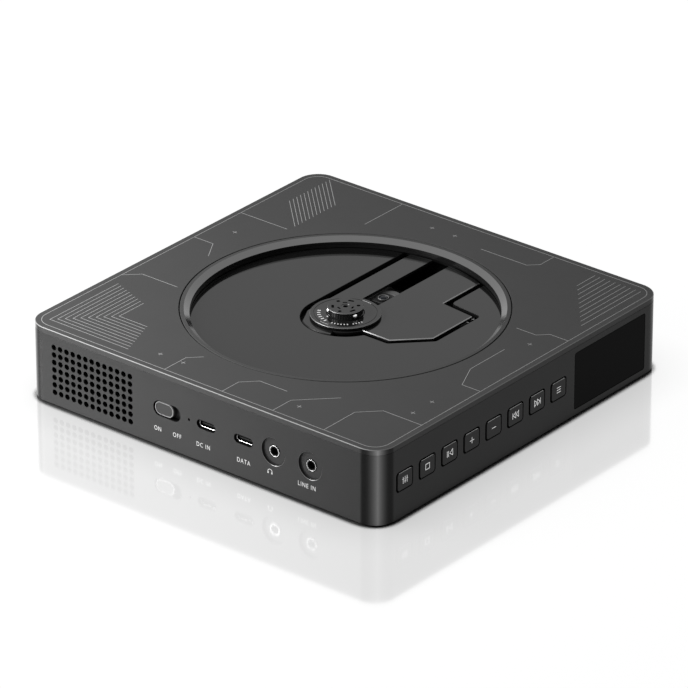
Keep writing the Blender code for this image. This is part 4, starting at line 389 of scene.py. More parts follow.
def board_finish():
    """A circuit board: green lacquer over copper tracks, with pale pads in rows."""
    made, graph, place = start_finish("board_green")
    cells = {"Vector": place, "Scale": 420.0, "Randomness": 0.35}
    tracks = graph.value("ShaderNodeTexVoronoi", {"distance": "CHEBYCHEV"}, cells).step(0.38, 0.42)
    spots = {"Vector": place, "Scale": 330.0, "Randomness": 0.5}
    pads = 1.0 - graph.value("ShaderNodeTexVoronoi", None, spots).step(0.12, 0.15)
    cloud = graph.noise(place, 900.0)
    lacquer = graph.mix(tracks * 0.7 + cloud * 0.3, (0.006, 0.045, 0.020), (0.016, 0.090, 0.040))
    bump = graph.node("ShaderNodeBump", None, {"Strength": 1.0, "Distance": 0.00002, "Height": tracks + pads})
    inputs = {
        "Base Color": graph.mix(pads, lacquer, (0.48, 0.47, 0.42)),
        "Roughness": 0.35 - pads * 0.1,
        "Metallic": pads * 0.9,
        "Normal": bump.outputs[0],
    }
    end_finish(graph, inputs)
    return made


board_green = board_finish()


# Outlines, lofts and finished pieces
def on_circle(radius, angle, level=0.0):
    turn = math.radians(angle)
    return Vector((radius * math.cos(turn), radius * math.sin(turn), level))


def circle(radius, level, steps=192, middle=(0.0, 0.0)):
    shift = Vector((*middle, 0.0))
    return [on_circle(radius, 360.0 * index / steps, level) + shift for index in range(steps)]


def arc(radius, first, last, steps=24, middle=(0.0, 0.0)):
    shift = Vector((*middle, 0.0))
    return [on_circle(radius, first + (last - first) * index / steps) + shift for index in range(steps + 1)]


def rounded_box(width, depth, corner, level, middle=(0.0, 0.0), corner_steps=8, side_steps=1):
    """A closed outline with round corners, anticlockwise."""
    corners = []
    for quarter, (across, along) in enumerate(((1, 1), (-1, 1), (-1, -1), (1, -1))):
        centre = (across * (width / 2 - corner), along * (depth / 2 - corner))
        corners.append(arc(corner, 90.0 * quarter, 90.0 * quarter + 90.0, corner_steps, centre))
    points = []
    for index, bend in enumerate(corners):
        points.extend(bend)
        start = bend[-1]
        end = corners[(index + 1) % 4][0]
        points.extend(start.lerp(end, step / side_steps) for step in range(1, side_steps))
    return [Vector((point.x + middle[0], point.y + middle[1], level)) for point in points]


def blocks(width, depth, corner, profile, middle=(0.0, 0.0), corner_steps=8):
    """Outlines of a rounded block; the profile pairs how much narrower each is with its level."""
    return [
        rounded_box(width - less, depth - less, corner - less / 2, level, middle, corner_steps)
        for less, level in profile
    ]


def rounded_path(points, radius):
    """Rounds the corners of a closed outline that turn by 25 degrees or more."""
    done = []
    count = len(points)
    steps = 8
    for index, point in enumerate(points):
        before = points[index - 1] - point
        after = points[(index + 1) % count] - point
        turn = math.pi - before.angle(after)
        if math.degrees(turn) < 25.0:
            done.append(point)
            continue
        reach = min(radius * math.tan(turn / 2), before.length * 0.49, after.length * 0.49)
        start = point + before.normalized() * reach
        end = point + after.normalized() * reach
        for step in range(steps + 1):
            share = step / steps
            first = start.lerp(point, share)
            second = point.lerp(end, share)
            done.append(first.lerp(second, share))
    return done


def mitre(before, after, least):
    """Gives the step at a path's corner that moves both of its sides to the left by one."""
    first, second = (Vector((-way.y, way.x, 0.0)).normalized() for way in (before, after))
    middle = (first + second).normalized()
    return middle / max(least, middle.dot(first))


def inset(points, distance):
    """Moves a closed anticlockwise outline inwards, with mitred corners."""
    done = []
    for index, point in enumerate(points):
        after = points[(index + 1) % len(points)] - point
        done.append(point + mitre(point - points[index - 1], after, 0.3) * distance)
    return done


def at_level(points, level):
    """Lays an outline flat at a level."""
    return [Vector((point.x, point.y, level)) for point in points]


def loft(mesh, loops, ring=False, finishes=None):
    """Joins outlines of equal count into a closed form; a ring joins its last to its first."""
    rows = [[mesh.verts.new(point) for point in loop] for loop in loops]
    pairs = list(zip(rows, rows[1:]))
    if ring:
        pairs.append((rows[-1], rows[0]))
    for index, (low, high) in enumerate(pairs):
        count = len(low)
        for step in range(count):
            after = (step + 1) % count
            face = mesh.faces.new((low[step], low[after], high[after], high[step]))
            if finishes:
                face.material_index = finishes[index]
    if not ring:
        mesh.faces.new(rows[0][::-1])
        mesh.faces.new(rows[-1])
    return mesh


def turned(mesh, profile, steps=192, ring=True, finishes=None, middle=(0.0, 0.0)):
    """Turns a profile of radius and level round an upright axis; without ring its ends are capped."""
    return loft(mesh, [circle(radius, level, steps, middle) for radius, level in profile], ring, finishes)


def posts(mesh, spots, radius, bottom, top, steps=24):
    """Adds upright round posts."""
    for spot in spots:
        outline = arc(radius, 45.0, 405.0, steps, spot)[:-1]
        loft(mesh, [at_level(outline, bottom), at_level(outline, top)])


def new_object(name, mesh, finishes, place=None):
    """Makes a form with its finishes into an object, moved to its place."""
    bmesh.ops.recalc_face_normals(mesh, faces=mesh.faces)
    data = bpy.data.meshes.new(name)
    mesh.to_mesh(data)
    mesh.free()
    if place is not None:
        data.transform(place)
    for finish_made in finishes:
        data.materials.append(finish_made)
    made = bpy.data.objects.new(name, data)
    scene.collection.objects.link(made)
    return made


def bake(piece):
    """Turns the modified form into the piece's plain mesh."""
    graph = bpy.context.evaluated_depsgraph_get()
    made = bpy.data.meshes.new_from_object(
        piece.evaluated_get(graph), preserve_all_data_layers=True, depsgraph=graph
    )
    piece.modifiers.clear()
    piece.data = made


def cut(piece, *cutters):
    """Takes the cutters' forms out of a piece."""
    for cutter in cutters:
        step = piece.modifiers.new("cut", "BOOLEAN")
        step.operation = "DIFFERENCE"
        step.solver = "EXACT"
        step.material_mode = "TRANSFER"
        step.object = cutter
        bake(piece)
        bpy.data.objects.remove(cutter)


def settle(piece, body, stands_for=(), angle=32.0):
    """Shades a piece, keeps its flats flat, and attaches it to its body."""
    piece.data.polygons.foreach_set("use_smooth", [True] * len(piece.data.polygons))
    piece.data.set_sharp_from_angle(angle=math.radians(angle))
    even = piece.modifiers.new("even", "WEIGHTED_NORMAL")
    even.keep_sharp = True
    bake(piece)
    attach(piece, body)
    if stands_for:
        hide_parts(*stands_for)
    return piece


# Geometry Nodes: a grid of items and a ring of items
def item_tree(name, counts, sizes):
    """Starts a tree with the item's mesh, named counts and sizes, and a finish as its inputs."""
    tree = bpy.data.node_groups.new(name, "GeometryNodeTree")
    kinds = {"Item": "Geometry", **dict.fromkeys(counts, "Int"), **dict.fromkeys(sizes, "Float")}
    kinds["Finish"] = "Material"
    sockets = {}
    for label, kind in kinds.items():
        made = tree.interface.new_socket(label, in_out="INPUT", socket_type=f"NodeSocket{kind}")
        sockets[label] = made.identifier
    tree.interface.new_socket("Items", in_out="OUTPUT", socket_type="NodeSocketGeometry")
    graph = Graph(tree)
    return tree, graph, graph.node("NodeGroupInput").outputs, sockets


def end_tree(graph, given, points, item, turn):
    """Puts the item on the points, turned about the upright axis, as one plain mesh."""
    rotation = graph.node("ShaderNodeCombineXYZ", None, {"Z": turn}).outputs[0]
    placing = {"Points": points, "Instance": item, "Rotation": rotation}
    placed = graph.node("GeometryNodeInstanceOnPoints", None, placing)
    real = graph.node("GeometryNodeRealizeInstances", None, {0: placed.outputs[0]})
    painting = {"Geometry": real.outputs[0], "Material": given["Finish"]}
    painted = graph.node("GeometryNodeSetMaterial", None, painting)
    graph.node("NodeGroupOutput", None, {0: painted.outputs[0]})


def make_grid_tree():
    sizes = ("Pitch", "Row Pitch", "Turn")
    tree, graph, given, sockets = item_tree("grid_of_items", ("Columns", "Rows"), sizes)
    spread = {
        "Size X": (Value(graph, given["Columns"]) - 1.0) * Value(graph, given["Pitch"]),
        "Size Y": (Value(graph, given["Rows"]) - 1.0) * Value(graph, given["Row Pitch"]),
        "Vertices X": given["Columns"],
        "Vertices Y": given["Rows"],
    }
    grid = graph.node("GeometryNodeMeshGrid", None, spread)
    end_tree(graph, given, grid.outputs[0], given["Item"], given["Turn"])
    return tree, sockets


def make_ring_tree():
    tree, graph, given, sockets = item_tree("ring_of_items", ("Count",), ("Radius", "Start", "Step"))
    out = graph.node("ShaderNodeCombineXYZ", None, {"X": given["Radius"]}).outputs[0]
    item = graph.node("GeometryNodeTransform", None, {"Geometry": given["Item"], "Translation": out})
    points = graph.node("GeometryNodeMeshLine", None, {"Count": given["Count"], "Offset": (0.0, 0.0, 0.0)})
    index = graph.value("GeometryNodeInputIndex")
    turn = index * Value(graph, given["Step"]) + Value(graph, given["Start"])
    end_tree(graph, given, points.outputs[0], item.outputs[0], turn)
    return tree, sockets


def ring_sizes(count, radius, start, share=1.0):
    """Sizes for the ring tree: all round, or over a share of the round."""
    step = math.tau * share / count
    return {"Count": count, "Radius": radius, "Start": math.radians(start), "Step": step}


grid_tree = make_grid_tree()
ring_tree = make_ring_tree()


def repeat(item, tree_and_sockets, sizes, finish_made, place=None):
    """Repeats an object by a tree, as one plain mesh."""
    tree, sockets = tree_and_sockets
    step = item.modifiers.new("repeat", "NODES")
    step.node_group = tree
    for label, size in sizes.items():
        step[sockets[label]] = size
    step[sockets["Finish"]] = finish_made
    bake(item)
    if place is not None:
        item.data.transform(place)
    return item


def repeat_form(name, mesh, tree_and_sockets, sizes, finish_made, place=None):
    return repeat(new_object(name, mesh, [finish_made]), tree_and_sockets, sizes, finish_made, place)


# Prints: thin closed strokes and words, sunk half into the skin under them
def stroke(mesh, points, width, top=0.0, closed=False):
    """Adds a closed thin bar along a path in the plane of a face."""
    points = [Vector((*point[:2], 0.0)) for point in points]
    count = len(points)
    sides = []
    for index, point in enumerate(points):
        before = point - points[index - 1] if (index or closed) else points[1] - point
        after = points[(index + 1) % count] - point if (index < count - 1 or closed) else before
        reach = mitre(before, after, 0.35) * (width / 2)
        sides.append((point + reach, point - reach))
    bottom = top - 2 * SKIN
    loops = [at_level((left, right), bottom) + at_level((right, left), top) for left, right in sides]
    return loft(mesh, loops, ring=closed)


def print_piece(name, mesh, finish_made, place, body):
    return settle(new_object(name, mesh, [finish_made], place), body)


def words(mesh, text, middle):
    """Adds plain capital letters as thin closed forms round a middle point."""
    letters = bpy.data.curves.new("letters", "FONT")
    letters.body = text
    letters.size = 1.0
    letters.resolution_u = 4
    letters.space_character = 1.22
    letters.offset = -0.002
    holder = bpy.data.objects.new("letters", letters)
    scene.collection.objects.link(holder)
    graph = bpy.context.evaluated_depsgraph_get()
    flat = bpy.data.meshes.new_from_object(holder.evaluated_get(graph))
    xs = [vertex.co.x for vertex in flat.vertices]
    ys = [vertex.co.y for vertex in flat.vertices]
    scale = LETTER_HEIGHT / (max(ys) - min(ys))
    middle_x = (max(xs) + min(xs)) / 2
    middle_y = (max(ys) + min(ys)) / 2
    sheet = bmesh.new()
    sheet.from_mesh(flat)
    bmesh.ops.remove_doubles(sheet, verts=sheet.verts, dist=0.0005)
    for vertex in sheet.verts:
        x = (vertex.co.x - middle_x) * scale * LETTER_WIDTH + middle[0]
        y = (vertex.co.y - middle_y) * scale + middle[1]
        vertex.co = (x, y, 0.0)
    grown = bmesh.ops.extrude_face_region(sheet, geom=sheet.faces[:])
    for item in grown["geom"]:
        if isinstance(item, bmesh.types.BMVert):
            item.co.z = -2 * SKIN
    holding = bpy.data.meshes.new("letters")
    sheet.to_mesh(holding)
    sheet.free()
    mesh.from_mesh(holding)
    bpy.data.objects.remove(holder)


def deck_front(gap, end_radius):
    """The stepped front edge that the floor's opening and the deck share."""
    left = -(0.0060 + gap)
    front = -(0.0402 + gap)
    cut_off = 0.0126 + gap * (2.0 - math.sqrt(2.0))
    step_front = -(0.0237 + gap)
    lean = 0.0019 / 0.0165
    step_x = 0.0320 + gap
    return [
        Vector((left, front + cut_off, 0.0)),
        Vector((left + cut_off, front, 0.0)),
        Vector((step_x, front, 0.0)),
        Vector((step_x + lean * (step_front - front), step_front, 0.0)),
        Vector((math.sqrt(end_radius ** 2 - step_front ** 2), step_front, 0.0)),
    ]


def end_arc(radius, first_y, last_y, steps=28):
    """The deck's curved end, from one distance off the middle line to another."""
    first = math.degrees(math.asin(first_y / radius))
    last = math.degrees(math.asin(last_y / radius))
    return arc(radius, first, last, steps)[1:]


# Posts in the case's corners and round the well
CORNER_POSTS = [(x, y) for x in (-0.0825, 0.0825) for y in (-0.0825, 0.0825)]
FLOOR_POSTS = [on_circle(0.0765, 45.0 + 90.0 * quarter).xy for quarter in range(4)]


def make_top_cover():
    side = 2 * HALF_SIDE - 2 * SKIN
    top = CASE_TOP - SKIN
    underside = 0.0320
    lip = (0.1784, 0.0069)
    lip_inside = (0.1760, 0.0057)
    lip_bottom = 0.0301
    chamfer = 0.00026
    post_radius = 0.0032
    post_top = 0.0325

    def square(width, corner, level):
        return rounded_box(width, width, corner, level, corner_steps=14, side_steps=44)

    angles = [math.degrees(math.atan2(point.y, point.x)) for point in square(side, CASE_CORNER, top)]

    def ring(radius, level):
        return [on_circle(radius, angle, level) for angle in angles]

    loops = [
        ring(OPENING_RADIUS, underside),
        ring(OPENING_RADIUS, top - 0.0001),
        ring(OPENING_RADIUS + 0.0001, top),
        square(side - 2 * chamfer, CASE_CORNER - chamfer, top),
        square(side, CASE_CORNER, top - chamfer),
        square(side, CASE_CORNER, BAND_BOTTOM + 0.0001),
        square(side - 0.0002, CASE_CORNER - 0.0001, BAND_BOTTOM),
        square(*lip, BAND_BOTTOM),
        square(*lip, lip_bottom),
        square(*lip_inside, lip_bottom),
        square(*lip_inside, underside),
    ]
    # The chamfer round the top edge takes a painted highlight
    mesh = loft(bmesh.new(), loops, ring=True, finishes=[0, 0, 0, 1, 2, 2, 0, 0, 0, 0, 0])

    # Posts for the case's screws, and posts with pins that hold the well floor
    posts(mesh, CORNER_POSTS, post_radius, 0.0029, post_top)
    posts(mesh, FLOOR_POSTS, post_radius, 0.0296, post_top)
    posts(mesh, FLOOR_POSTS, 0.0012, 0.0270, 0.0300, 16)
    made = new_object("cover_shell", mesh, [case_satin, chamfer_highlight, band_satin])
    settle(made, "case", ["top_cover"])


def make_well_ring():
    top = CASE_TOP - SKIN
    inside = 0.0633
    flange = 0.0695
    flange_top = 0.0317
    bottom = 0.0296
    profile = [
        (0.0672, top - 0.0001), (0.0672, flange_top), (flange, flange_top), (flange, bottom),
        (inside, bottom), (inside, 0.0306), (0.0635, 0.0307), (0.0635, 0.0309), (inside, 0.0310),
        (inside, 0.0321), (0.0656, top), (0.0671, top),
    ]
    # The well's lower wall takes painted shade
    mesh = turned(bmesh.new(), profile, 256, finishes=[0, 0, 0, 1, 1, 1, 1, 1, 1, 2, 0, 0])
    made = new_object("well_rim", mesh, [case_satin, painted_gap_shade, cone_polish])
    settle(made, "case", ["well_ring"])


def make_well_floor():
    bottom = 0.0278
    end_radius = 0.06455
    flare = 0.00015
    mesh = turned(bmesh.new(), [(0.0730, bottom), (0.0730, FLOOR_TOP)], ring=False)
    posts(mesh, FLOOR_POSTS, 0.0045, bottom, FLOOR_TOP, 32)
    made = new_object("floor_plate", mesh, [well_gloss])
    path = arc(0.0185, 90.0, 360.0 - math.degrees(math.acos(-0.0084 / 0.0185)), 40)
    path += deck_front(0.0024, end_radius)
    path += end_arc(end_radius, path[-1].y, 0.0185)
    path = rounded_path(path, 0.0024)
    grown = inset(path, -flare)
    loops = [
        at_level(path, 0.0270), at_level(path, FLOOR_TOP - flare),
        at_level(grown, FLOOR_TOP), at_level(grown, FLOOR_TOP + 0.001),
    ]
    cut(made, new_object("floor_opening", loft(bmesh.new(), loops), [painted_gap_shade]))
    settle(made, "case", ["well_floor"])


def make_deck_cover():
    end_radius = 0.0626
    bevel = 0.00032
    path = [Vector((-0.006, 0.0152, 0.0))]
    path += arc(0.0182, 144.0, 200.0, 16)
    path += arc(0.0150, 200.0, 360.0 - math.degrees(math.acos(-0.006 / 0.015)), 10)
    path += deck_front(0.0, end_radius)
    path += end_arc(end_radius, path[-1].y, 0.0152)
    loops = [at_level(path, 0.0284), at_level(path, DECK_TOP - bevel), at_level(inset(path, bevel), DECK_TOP)]
    # The deck's sides take painted shade, its bevel a painted highlight
    mesh = loft(bmesh.new(), loops, finishes=[2, 1])

    # The bevel takes a painted highlight, and beside the turntable painted shade instead
    for face in mesh.faces:
        if face.material_index == 1 and face.calc_center_median().xy.length < 0.0188:
            face.material_index = 2
    made = new_object("deck_plate", mesh, [deck_gloss, deck_bevel_highlight, painted_gap_shade])
    cut_levels = (0.0275, 0.0305)
    corners = ((0.0155, -0.00445), (0.0700, -0.00445), (0.0700, 0.00445), (0.0155, 0.00445))
    outline = rounded_path([Vector((x, y, 0.0)) for x, y in corners], 0.0006)
    slot = loft(bmesh.new(), [at_level(outline, level) for level in cut_levels])
    hole = turned(bmesh.new(), [(0.0046, level) for level in cut_levels], 64, ring=False)
    cut(made, new_object("slot_cutter", slot, [painted_gap_shade]), new_object("hole_cutter", hole, [painted_gap_shade]))
    settle(made, "case", ["deck_cover"])


def make_spindle_pieces():
    profile = [
        (0.0010, 0.0276), (0.0040, 0.0276), (0.0040, 0.0299), (0.0144, 0.0299), (0.0146, 0.0301),
        (0.0146, 0.03085), (0.01448, 0.0310), (0.0131, 0.0310), (0.01302, 0.03085), (0.01278, 0.03085),
        (0.0127, 0.0310), (0.0079, 0.0310), (0.00775, 0.03085), (0.00775, 0.0302), (0.0010, 0.0302),
    ]
    # The platter's rim chamfer takes a painted highlight; its boss, underside and side take painted shade
    mesh = turned(bmesh.new(), profile, 160, finishes=[2, 2, 2, 2, 2, 1, 0, 0, 0, 0, 0, 0, 0, 0, 0])
    made = new_object("platter", mesh, [table_black, rim_highlight, painted_gap_shade])
    settle(made, "spindle", ["turntable"])

    # The hub's drum, with a notch for each ball and fine ribs between them
    profile = [
        (0.0010, 0.0302), (0.00735, 0.0302), (0.00735, 0.0311), (0.00700, 0.0312), (0.00690, 0.03315),
        (0.0010, 0.03315),
    ]
    drum = new_object("hub_drum", turned(bmesh.new(), profile, 128), [hub_black])
    rib = blocks(0.00036, 0.00030, 0.0001, [(0.0, 0.0312), (0.0, 0.0331)], corner_steps=2)
    sizes = ring_sizes(42, 0.00700, 4.0)
    ribs = repeat_form("hub_ribs", loft(bmesh.new(), rib), ring_tree, sizes, hub_black)
    for cut_piece, bottom, radius in ((drum, 0.0310, 0.0066), (ribs, 0.0305, 0.0076)):
        notch = blocks(0.0040, 0.0030, 0.0006, [(0.0, bottom), (0.0, 0.0340)], corner_steps=4)
        sizes = ring_sizes(3, radius, BALL_ANGLES[0])
        cut(cut_piece, repeat_form("notches", loft(bmesh.new(), notch), ring_tree, sizes, hub_black))
    settle(drum, "spindle", ["turntable_hub"])
    settle(ribs, "spindle")

    # The cap: a thin disc with slots and dots sunk in its face
    profile = [
        (0.0010, 0.03345), (0.00735, 0.03345), (0.00735, 0.03382), (0.00724, 0.03395), (0.0019, 0.03395),
        (0.0018, 0.03380), (0.0010, 0.03380),
    ]
    # The cap's rim chamfer takes a painted highlight
    mesh = turned(bmesh.new(), profile, 128, finishes=[2, 2, 1, 0, 0, 0, 2])
    cap = new_object("hub_cap_disc", mesh, [table_black, rim_highlight, hub_black])
    for width, depth, corner, radius, start in (
        (0.0011, 0.0026, 0.0004, 0.0052, 13.0),
        (0.0015, 0.0015, 0.0006, 0.0053, 73.0),
        (0.0008, 0.0019, 0.0002, 0.0032, 43.0),
    ):
        sink = blocks(width, depth, corner, [(0.0, 0.03372), (0.0, 0.0345)], corner_steps=5)
        sizes = ring_sizes(3, radius, start)
        cut(cap, repeat_form("sinks", loft(bmesh.new(), sink), ring_tree, sizes, painted_hole_shade))
    settle(cap, "spindle", ["hub_cap"])

    for number, angle in enumerate(BALL_ANGLES, 1):
        spot = on_circle(0.00665, angle, 0.0322)
        ball = bmesh.new()
        bmesh.ops.create_icosphere(ball, subdivisions=4, radius=0.0011, matrix=Matrix.Translation(spot))
        made = new_object(f"grip_ball_{number}", ball, [ball_chrome])
        settle(made, f"ball_{number}", [f"clamp_ball_{number}"], angle=60.0)


def make_pickup_pieces():
    loops = blocks(0.0080, 0.0072, 0.0012, [(0.0, 0.0267), (0.0, 0.0277), (0.0004, 0.0279)], LENS_MIDDLE)
    holder = loft(bmesh.new(), loops)
    profile = [
        (0.0024, 0.0272), (0.0028, 0.0272), (0.0028, 0.0282), (0.0027, 0.0283), (0.0025, 0.0283),
        (0.0024, 0.0281),
    ]
    turned(holder, profile, 64, middle=LENS_MIDDLE)
    settle(new_object("lens_frame", holder, [soft_black]), "lens", ["lens_holder"])
    profile = [
        (0.00200, 0.0279), (0.00232, 0.0279), (0.00232, 0.0285), (0.00224, 0.0286), (0.00205, 0.0285),
    ]
    trim = turned(bmesh.new(), profile, 64, middle=LENS_MIDDLE)
    settle(new_object("lens_trim", trim, [trim_grey_and_edge_highlight]), "lens")
    profile = [(0.0021, 0.02775), (0.0021, 0.0281)]
    for step in range(1, 8):
        lift = math.radians(90.0 * step / 8)
        profile.append((0.0019 * math.cos(lift), 0.0281 + 0.00055 * math.sin(lift)))
    dome = turned(bmesh.new(), profile, 64, ring=False, middle=LENS_MIDDLE)
    settle(new_object("lens_dome", dome, [lens_glass]), "lens", ["objective_lens"], angle=60.0)
    shape = arc(0.0048, -64.0, 64.0, 24, (LENS_MIDDLE[0] + 0.0040, 0.0))
    shape += arc(0.0056, 50.0, -50.0, 24, LENS_MIDDLE)
    loops = [at_level(shape, 0.0259), at_level(shape, 0.0275), at_level(inset(shape, 0.0001), 0.0276)]
    guard = new_object("lens_guard", loft(bmesh.new(), loops), [guard_grey])
    settle(guard, "sled")


# Holes are lined with painted shade unless other finishes are given
def wall_cutter(name, place, outline, flare, depth=CUT_DEPTH, finishes=(painted_hole_shade, painted_hole_shade)):
    """Cuts a wall from its face, with a flared mouth; finishes are the hole's and the mouth's."""
    grown = inset(outline, -flare)
    loops = [
        at_level(outline, -depth), at_level(outline, -flare - SKIN),
        at_level(grown, -SKIN), at_level(grown, CUT_REACH),
    ]
    return new_object(name, loft(bmesh.new(), loops, finishes=[0, 1, 1]), finishes, place)


def make_housing():
    side = 2 * HALF_SIDE - 2 * SKIN
    outside = (side, CASE_CORNER)
    inside = (0.1790, 0.0072)
    ledge = (0.1760, 0.0057)
    bottom = 0.0006
    ledge_bottom = 0.0029
    ledge_top = 0.0044
    rim = 0.03145
    loops = [
        rounded_box(width, width, corner, level, corner_steps=14)
        for (width, corner), level in (
            ((side - 0.0004, CASE_CORNER - 0.0002), bottom), (outside, 0.0008), (outside, 0.0314),
            ((side - 0.0001, CASE_CORNER - 0.00005), rim), (inside, rim), (inside, ledge_top),
            (ledge, ledge_top), (ledge, ledge_bottom), (inside, ledge_bottom), (inside, bottom),
        )
    ]
    mesh = loft(bmesh.new(), loops, ring=True, finishes=[0, 0, 0, 0, 0, 0, 0, 0, 0, 1])
    made = new_object("wall_shell", mesh, [wall_satin, painted_gap_shade])

    # Grille: one hole with a flared mouth, repeated by the grid tree
    profile = [(0.00118, -CUT_DEPTH), (0.00118, -0.00014), (0.00128, -SKIN), (0.00128, CUT_REACH)]
    hole = turned(bmesh.new(), profile, 14, ring=False)
    pitch = 0.00338
    sizes = {"Columns": 13, "Rows": 7, "Pitch": pitch, "Row Pitch": pitch}
    place = PORT_WALL @ Matrix.Translation((-0.05625, 0.01655, 0.0))
    cutters = [repeat_form("grille_holes", hole, grid_tree, sizes, painted_hole_shade, place)]

    # Ports: switch, sockets, lamp and jacks
    slot = rounded_box(0.0140, 0.0065, 0.00315, 0.0, (-0.0166, PORT_LEVEL), 12)
    cutters.append(wall_cutter("switch_slot", PORT_WALL, slot, 0.00015))
    for name, x in SOCKET_SPOTS.items():
        slot = rounded_box(0.0095, 0.00375, 0.00187, 0.0, (x, PORT_LEVEL), 12)
        cutters.append(wall_cutter(f"{name}_hole", PORT_WALL, slot, 0.00015))
    bore = circle(0.00055, 0.0, 16, (LAMP_SPOT, PORT_LEVEL))
    cutters.append(wall_cutter("lamp_hole", PORT_WALL, bore, 0.00005))
    for name, x in JACK_SPOTS.items():
        dish = circle(0.0060, 0.0, 64, (x, PORT_LEVEL))
        bore = circle(0.0027, 0.0, 48, (x, PORT_LEVEL))
        # The dish's mouth takes a painted highlight
        cutters.append(wall_cutter(f"{name}_dish", PORT_WALL, dish, 0.00012, 0.0010, (wall_satin, trim_grey_and_edge_highlight)))
        cutters.append(wall_cutter(f"{name}_bore", PORT_WALL, bore, 0.0001))

    # Keys, with gaps that are wider on the left and above, and the window
    for name, (x, y) in KEY_SPOTS.items():
        mouth = (x - 0.00035, y + 0.00022)
        outline = rounded_box(KEY_WIDTH + 0.0013, KEY_HEIGHT + 0.0010, KEY_CORNER + 0.0003, 0.0, mouth)
        cutters.append(wall_cutter(f"{name}_hole", KEY_WALL, outline, 0.00014))
    pocket = rounded_box(0.0470, 0.0255, 0.0010, 0.0, WINDOW_MIDDLE)
    opening = rounded_box(0.0430, 0.0215, 0.0010, 0.0, WINDOW_MIDDLE)
    cutters.append(wall_cutter("window_pocket", KEY_WALL, pocket, 0.0001, 0.0014, (painted_hole_shade, wall_satin)))
    cutters.append(wall_cutter("window_opening", KEY_WALL, opening, 0.0001))
    cut(made, *cutters)
    settle(made, "case", ["side_housing"])


def make_window():
    profile = [(0.0, -0.0013), (0.0, -0.00025), (0.0003, -0.0001)]
    mesh = loft(bmesh.new(), blocks(0.0467, 0.0252, 0.00085, profile, WINDOW_MIDDLE))
    made = new_object("window_pane", mesh, [glass_black], KEY_WALL)
    settle(made, "case", ["display_window"])


def make_thumb():
    middle = (-0.0183, PORT_LEVEL)
    profile = [(0.0, -0.0024), (0.0, -0.00065), (0.0005, -0.00030), (0.0010, -0.00030), (0.0013, -0.00045)]
    # The thumb's bevel and the outer band of its face take a painted highlight
    mesh = loft(bmesh.new(), blocks(0.0098, 0.0061, 0.0029, profile, middle, 12), finishes=[0, 1, 1, 0])
    loft(mesh, blocks(0.0158, 0.0080, 0.0010, [(0.0, -0.0031), (0.0, -0.0026)], middle, 12))
    loft(mesh, blocks(0.0030, 0.0020, 0.0004, [(0.0, -0.0046), (0.0, -0.0030)], middle, 4))
    made = new_object("thumb_pad", mesh, [thumb_satin, trim_grey_and_edge_highlight], PORT_WALL)
    settle(made, "switch", ["switch_thumb"])


def make_port_pieces():
    profile = [
        (0.00175, -0.0030), (0.00246, -0.0030), (0.00246, -0.00080), (0.00238, -0.00072),
        (0.00226, -0.00072), (0.00218, -0.00080), (0.00180, -0.00120),
    ]
    for name, x in JACK_SPOTS.items():
        # The nose's front is chrome; the bore and the nose's back take painted shade
        ring = turned(bmesh.new(), profile, 64, finishes=[1, 1, 0, 0, 0, 1, 1], middle=(x, PORT_LEVEL))
        settle(new_object(f"{name}_ring", ring, [ring_chrome, painted_hole_shade], PORT_WALL), "case")
    profile = [
        (0.0, -0.0018), (0.0, -0.00098), (0.0001, -0.00090), (0.0005, -0.00090), (0.0009, -0.00110),
        (0.0009, -0.0018),
    ]
    for name, x in SOCKET_SPOTS.items():
        loops = blocks(0.0090, 0.00330, 0.0016, profile, (x, PORT_LEVEL), 12)
        # One sloping band of each lip is steel; its other faces take painted shade
        lip = loft(bmesh.new(), loops, ring=True, finishes=[1, 1, 1, 0, 1, 1])
        settle(new_object(f"{name}_lip", lip, [lip_steel, painted_hole_shade], PORT_WALL), "case")


def make_keys():
    profile = [
        (-0.0008, -0.0037), (-0.0008, -0.0028), (0.0, -0.0028), (0.0, KEY_FRONT - 0.00014),
        (0.00022, KEY_FRONT), (0.00040, KEY_FRONT),
    ]
    for name, spot in KEY_SPOTS.items():
        loops = blocks(0.0030, 0.0030, 0.0004, [(0.0, -0.0049), (0.0, -0.0037)], spot)
        loops += blocks(KEY_WIDTH, KEY_HEIGHT, KEY_CORNER, profile, spot)
        # The stem and the flanks take painted shade
        mesh = loft(bmesh.new(), loops, finishes=[2, 2, 2, 2, 2, 1, 0])
        mesh.normal_update()

        # The bevel takes a painted highlight, and on the left the key's black instead: painted shade on the
        # side where less light falls
        for face in mesh.faces:
            if face.material_index == 1 and face.normal.x < -0.3:
                face.material_index = 0
        made = new_object(f"{name}_cap", mesh, [key_black, key_edge_highlight, painted_hole_shade], KEY_WALL)
        settle(made, name, [f"{name}_key"])
        sign = bmesh.new()
        for path in SIGNS[name]:
            points = [(spot[0] + x * SIGN_UNIT, spot[1] + y * SIGN_UNIT) for x, y in path]
            stroke(sign, points, SIGN_LINE, KEY_FRONT + SKIN, closed=len(path) > 2)
        print_piece(f"{name}_sign", sign, print_white, KEY_WALL, name)


def make_labels():
    mesh = bmesh.new()
    for text, x in (
        ("ON", -0.0216), ("OFF", -0.0114), ("DC IN", 0.00225), ("DATA", 0.02325), ("LINE IN", 0.0556),
    ):
        words(mesh, text, (x, LABEL_LEVEL))

    # Headphones: a band and two cups
    middle = 0.0368
    spread = 0.00098
    stroke(mesh, arc(0.0011, -20.0, 200.0, 16, (middle, LABEL_LEVEL)), 0.00026)
    for x in (middle - spread, middle + spread):
        stroke(mesh, [(x, LABEL_LEVEL - 0.0009), (x, LABEL_LEVEL - 0.0001)], 0.0006)
    print_piece("port_labels", mesh, print_label, PORT_WALL, "case")


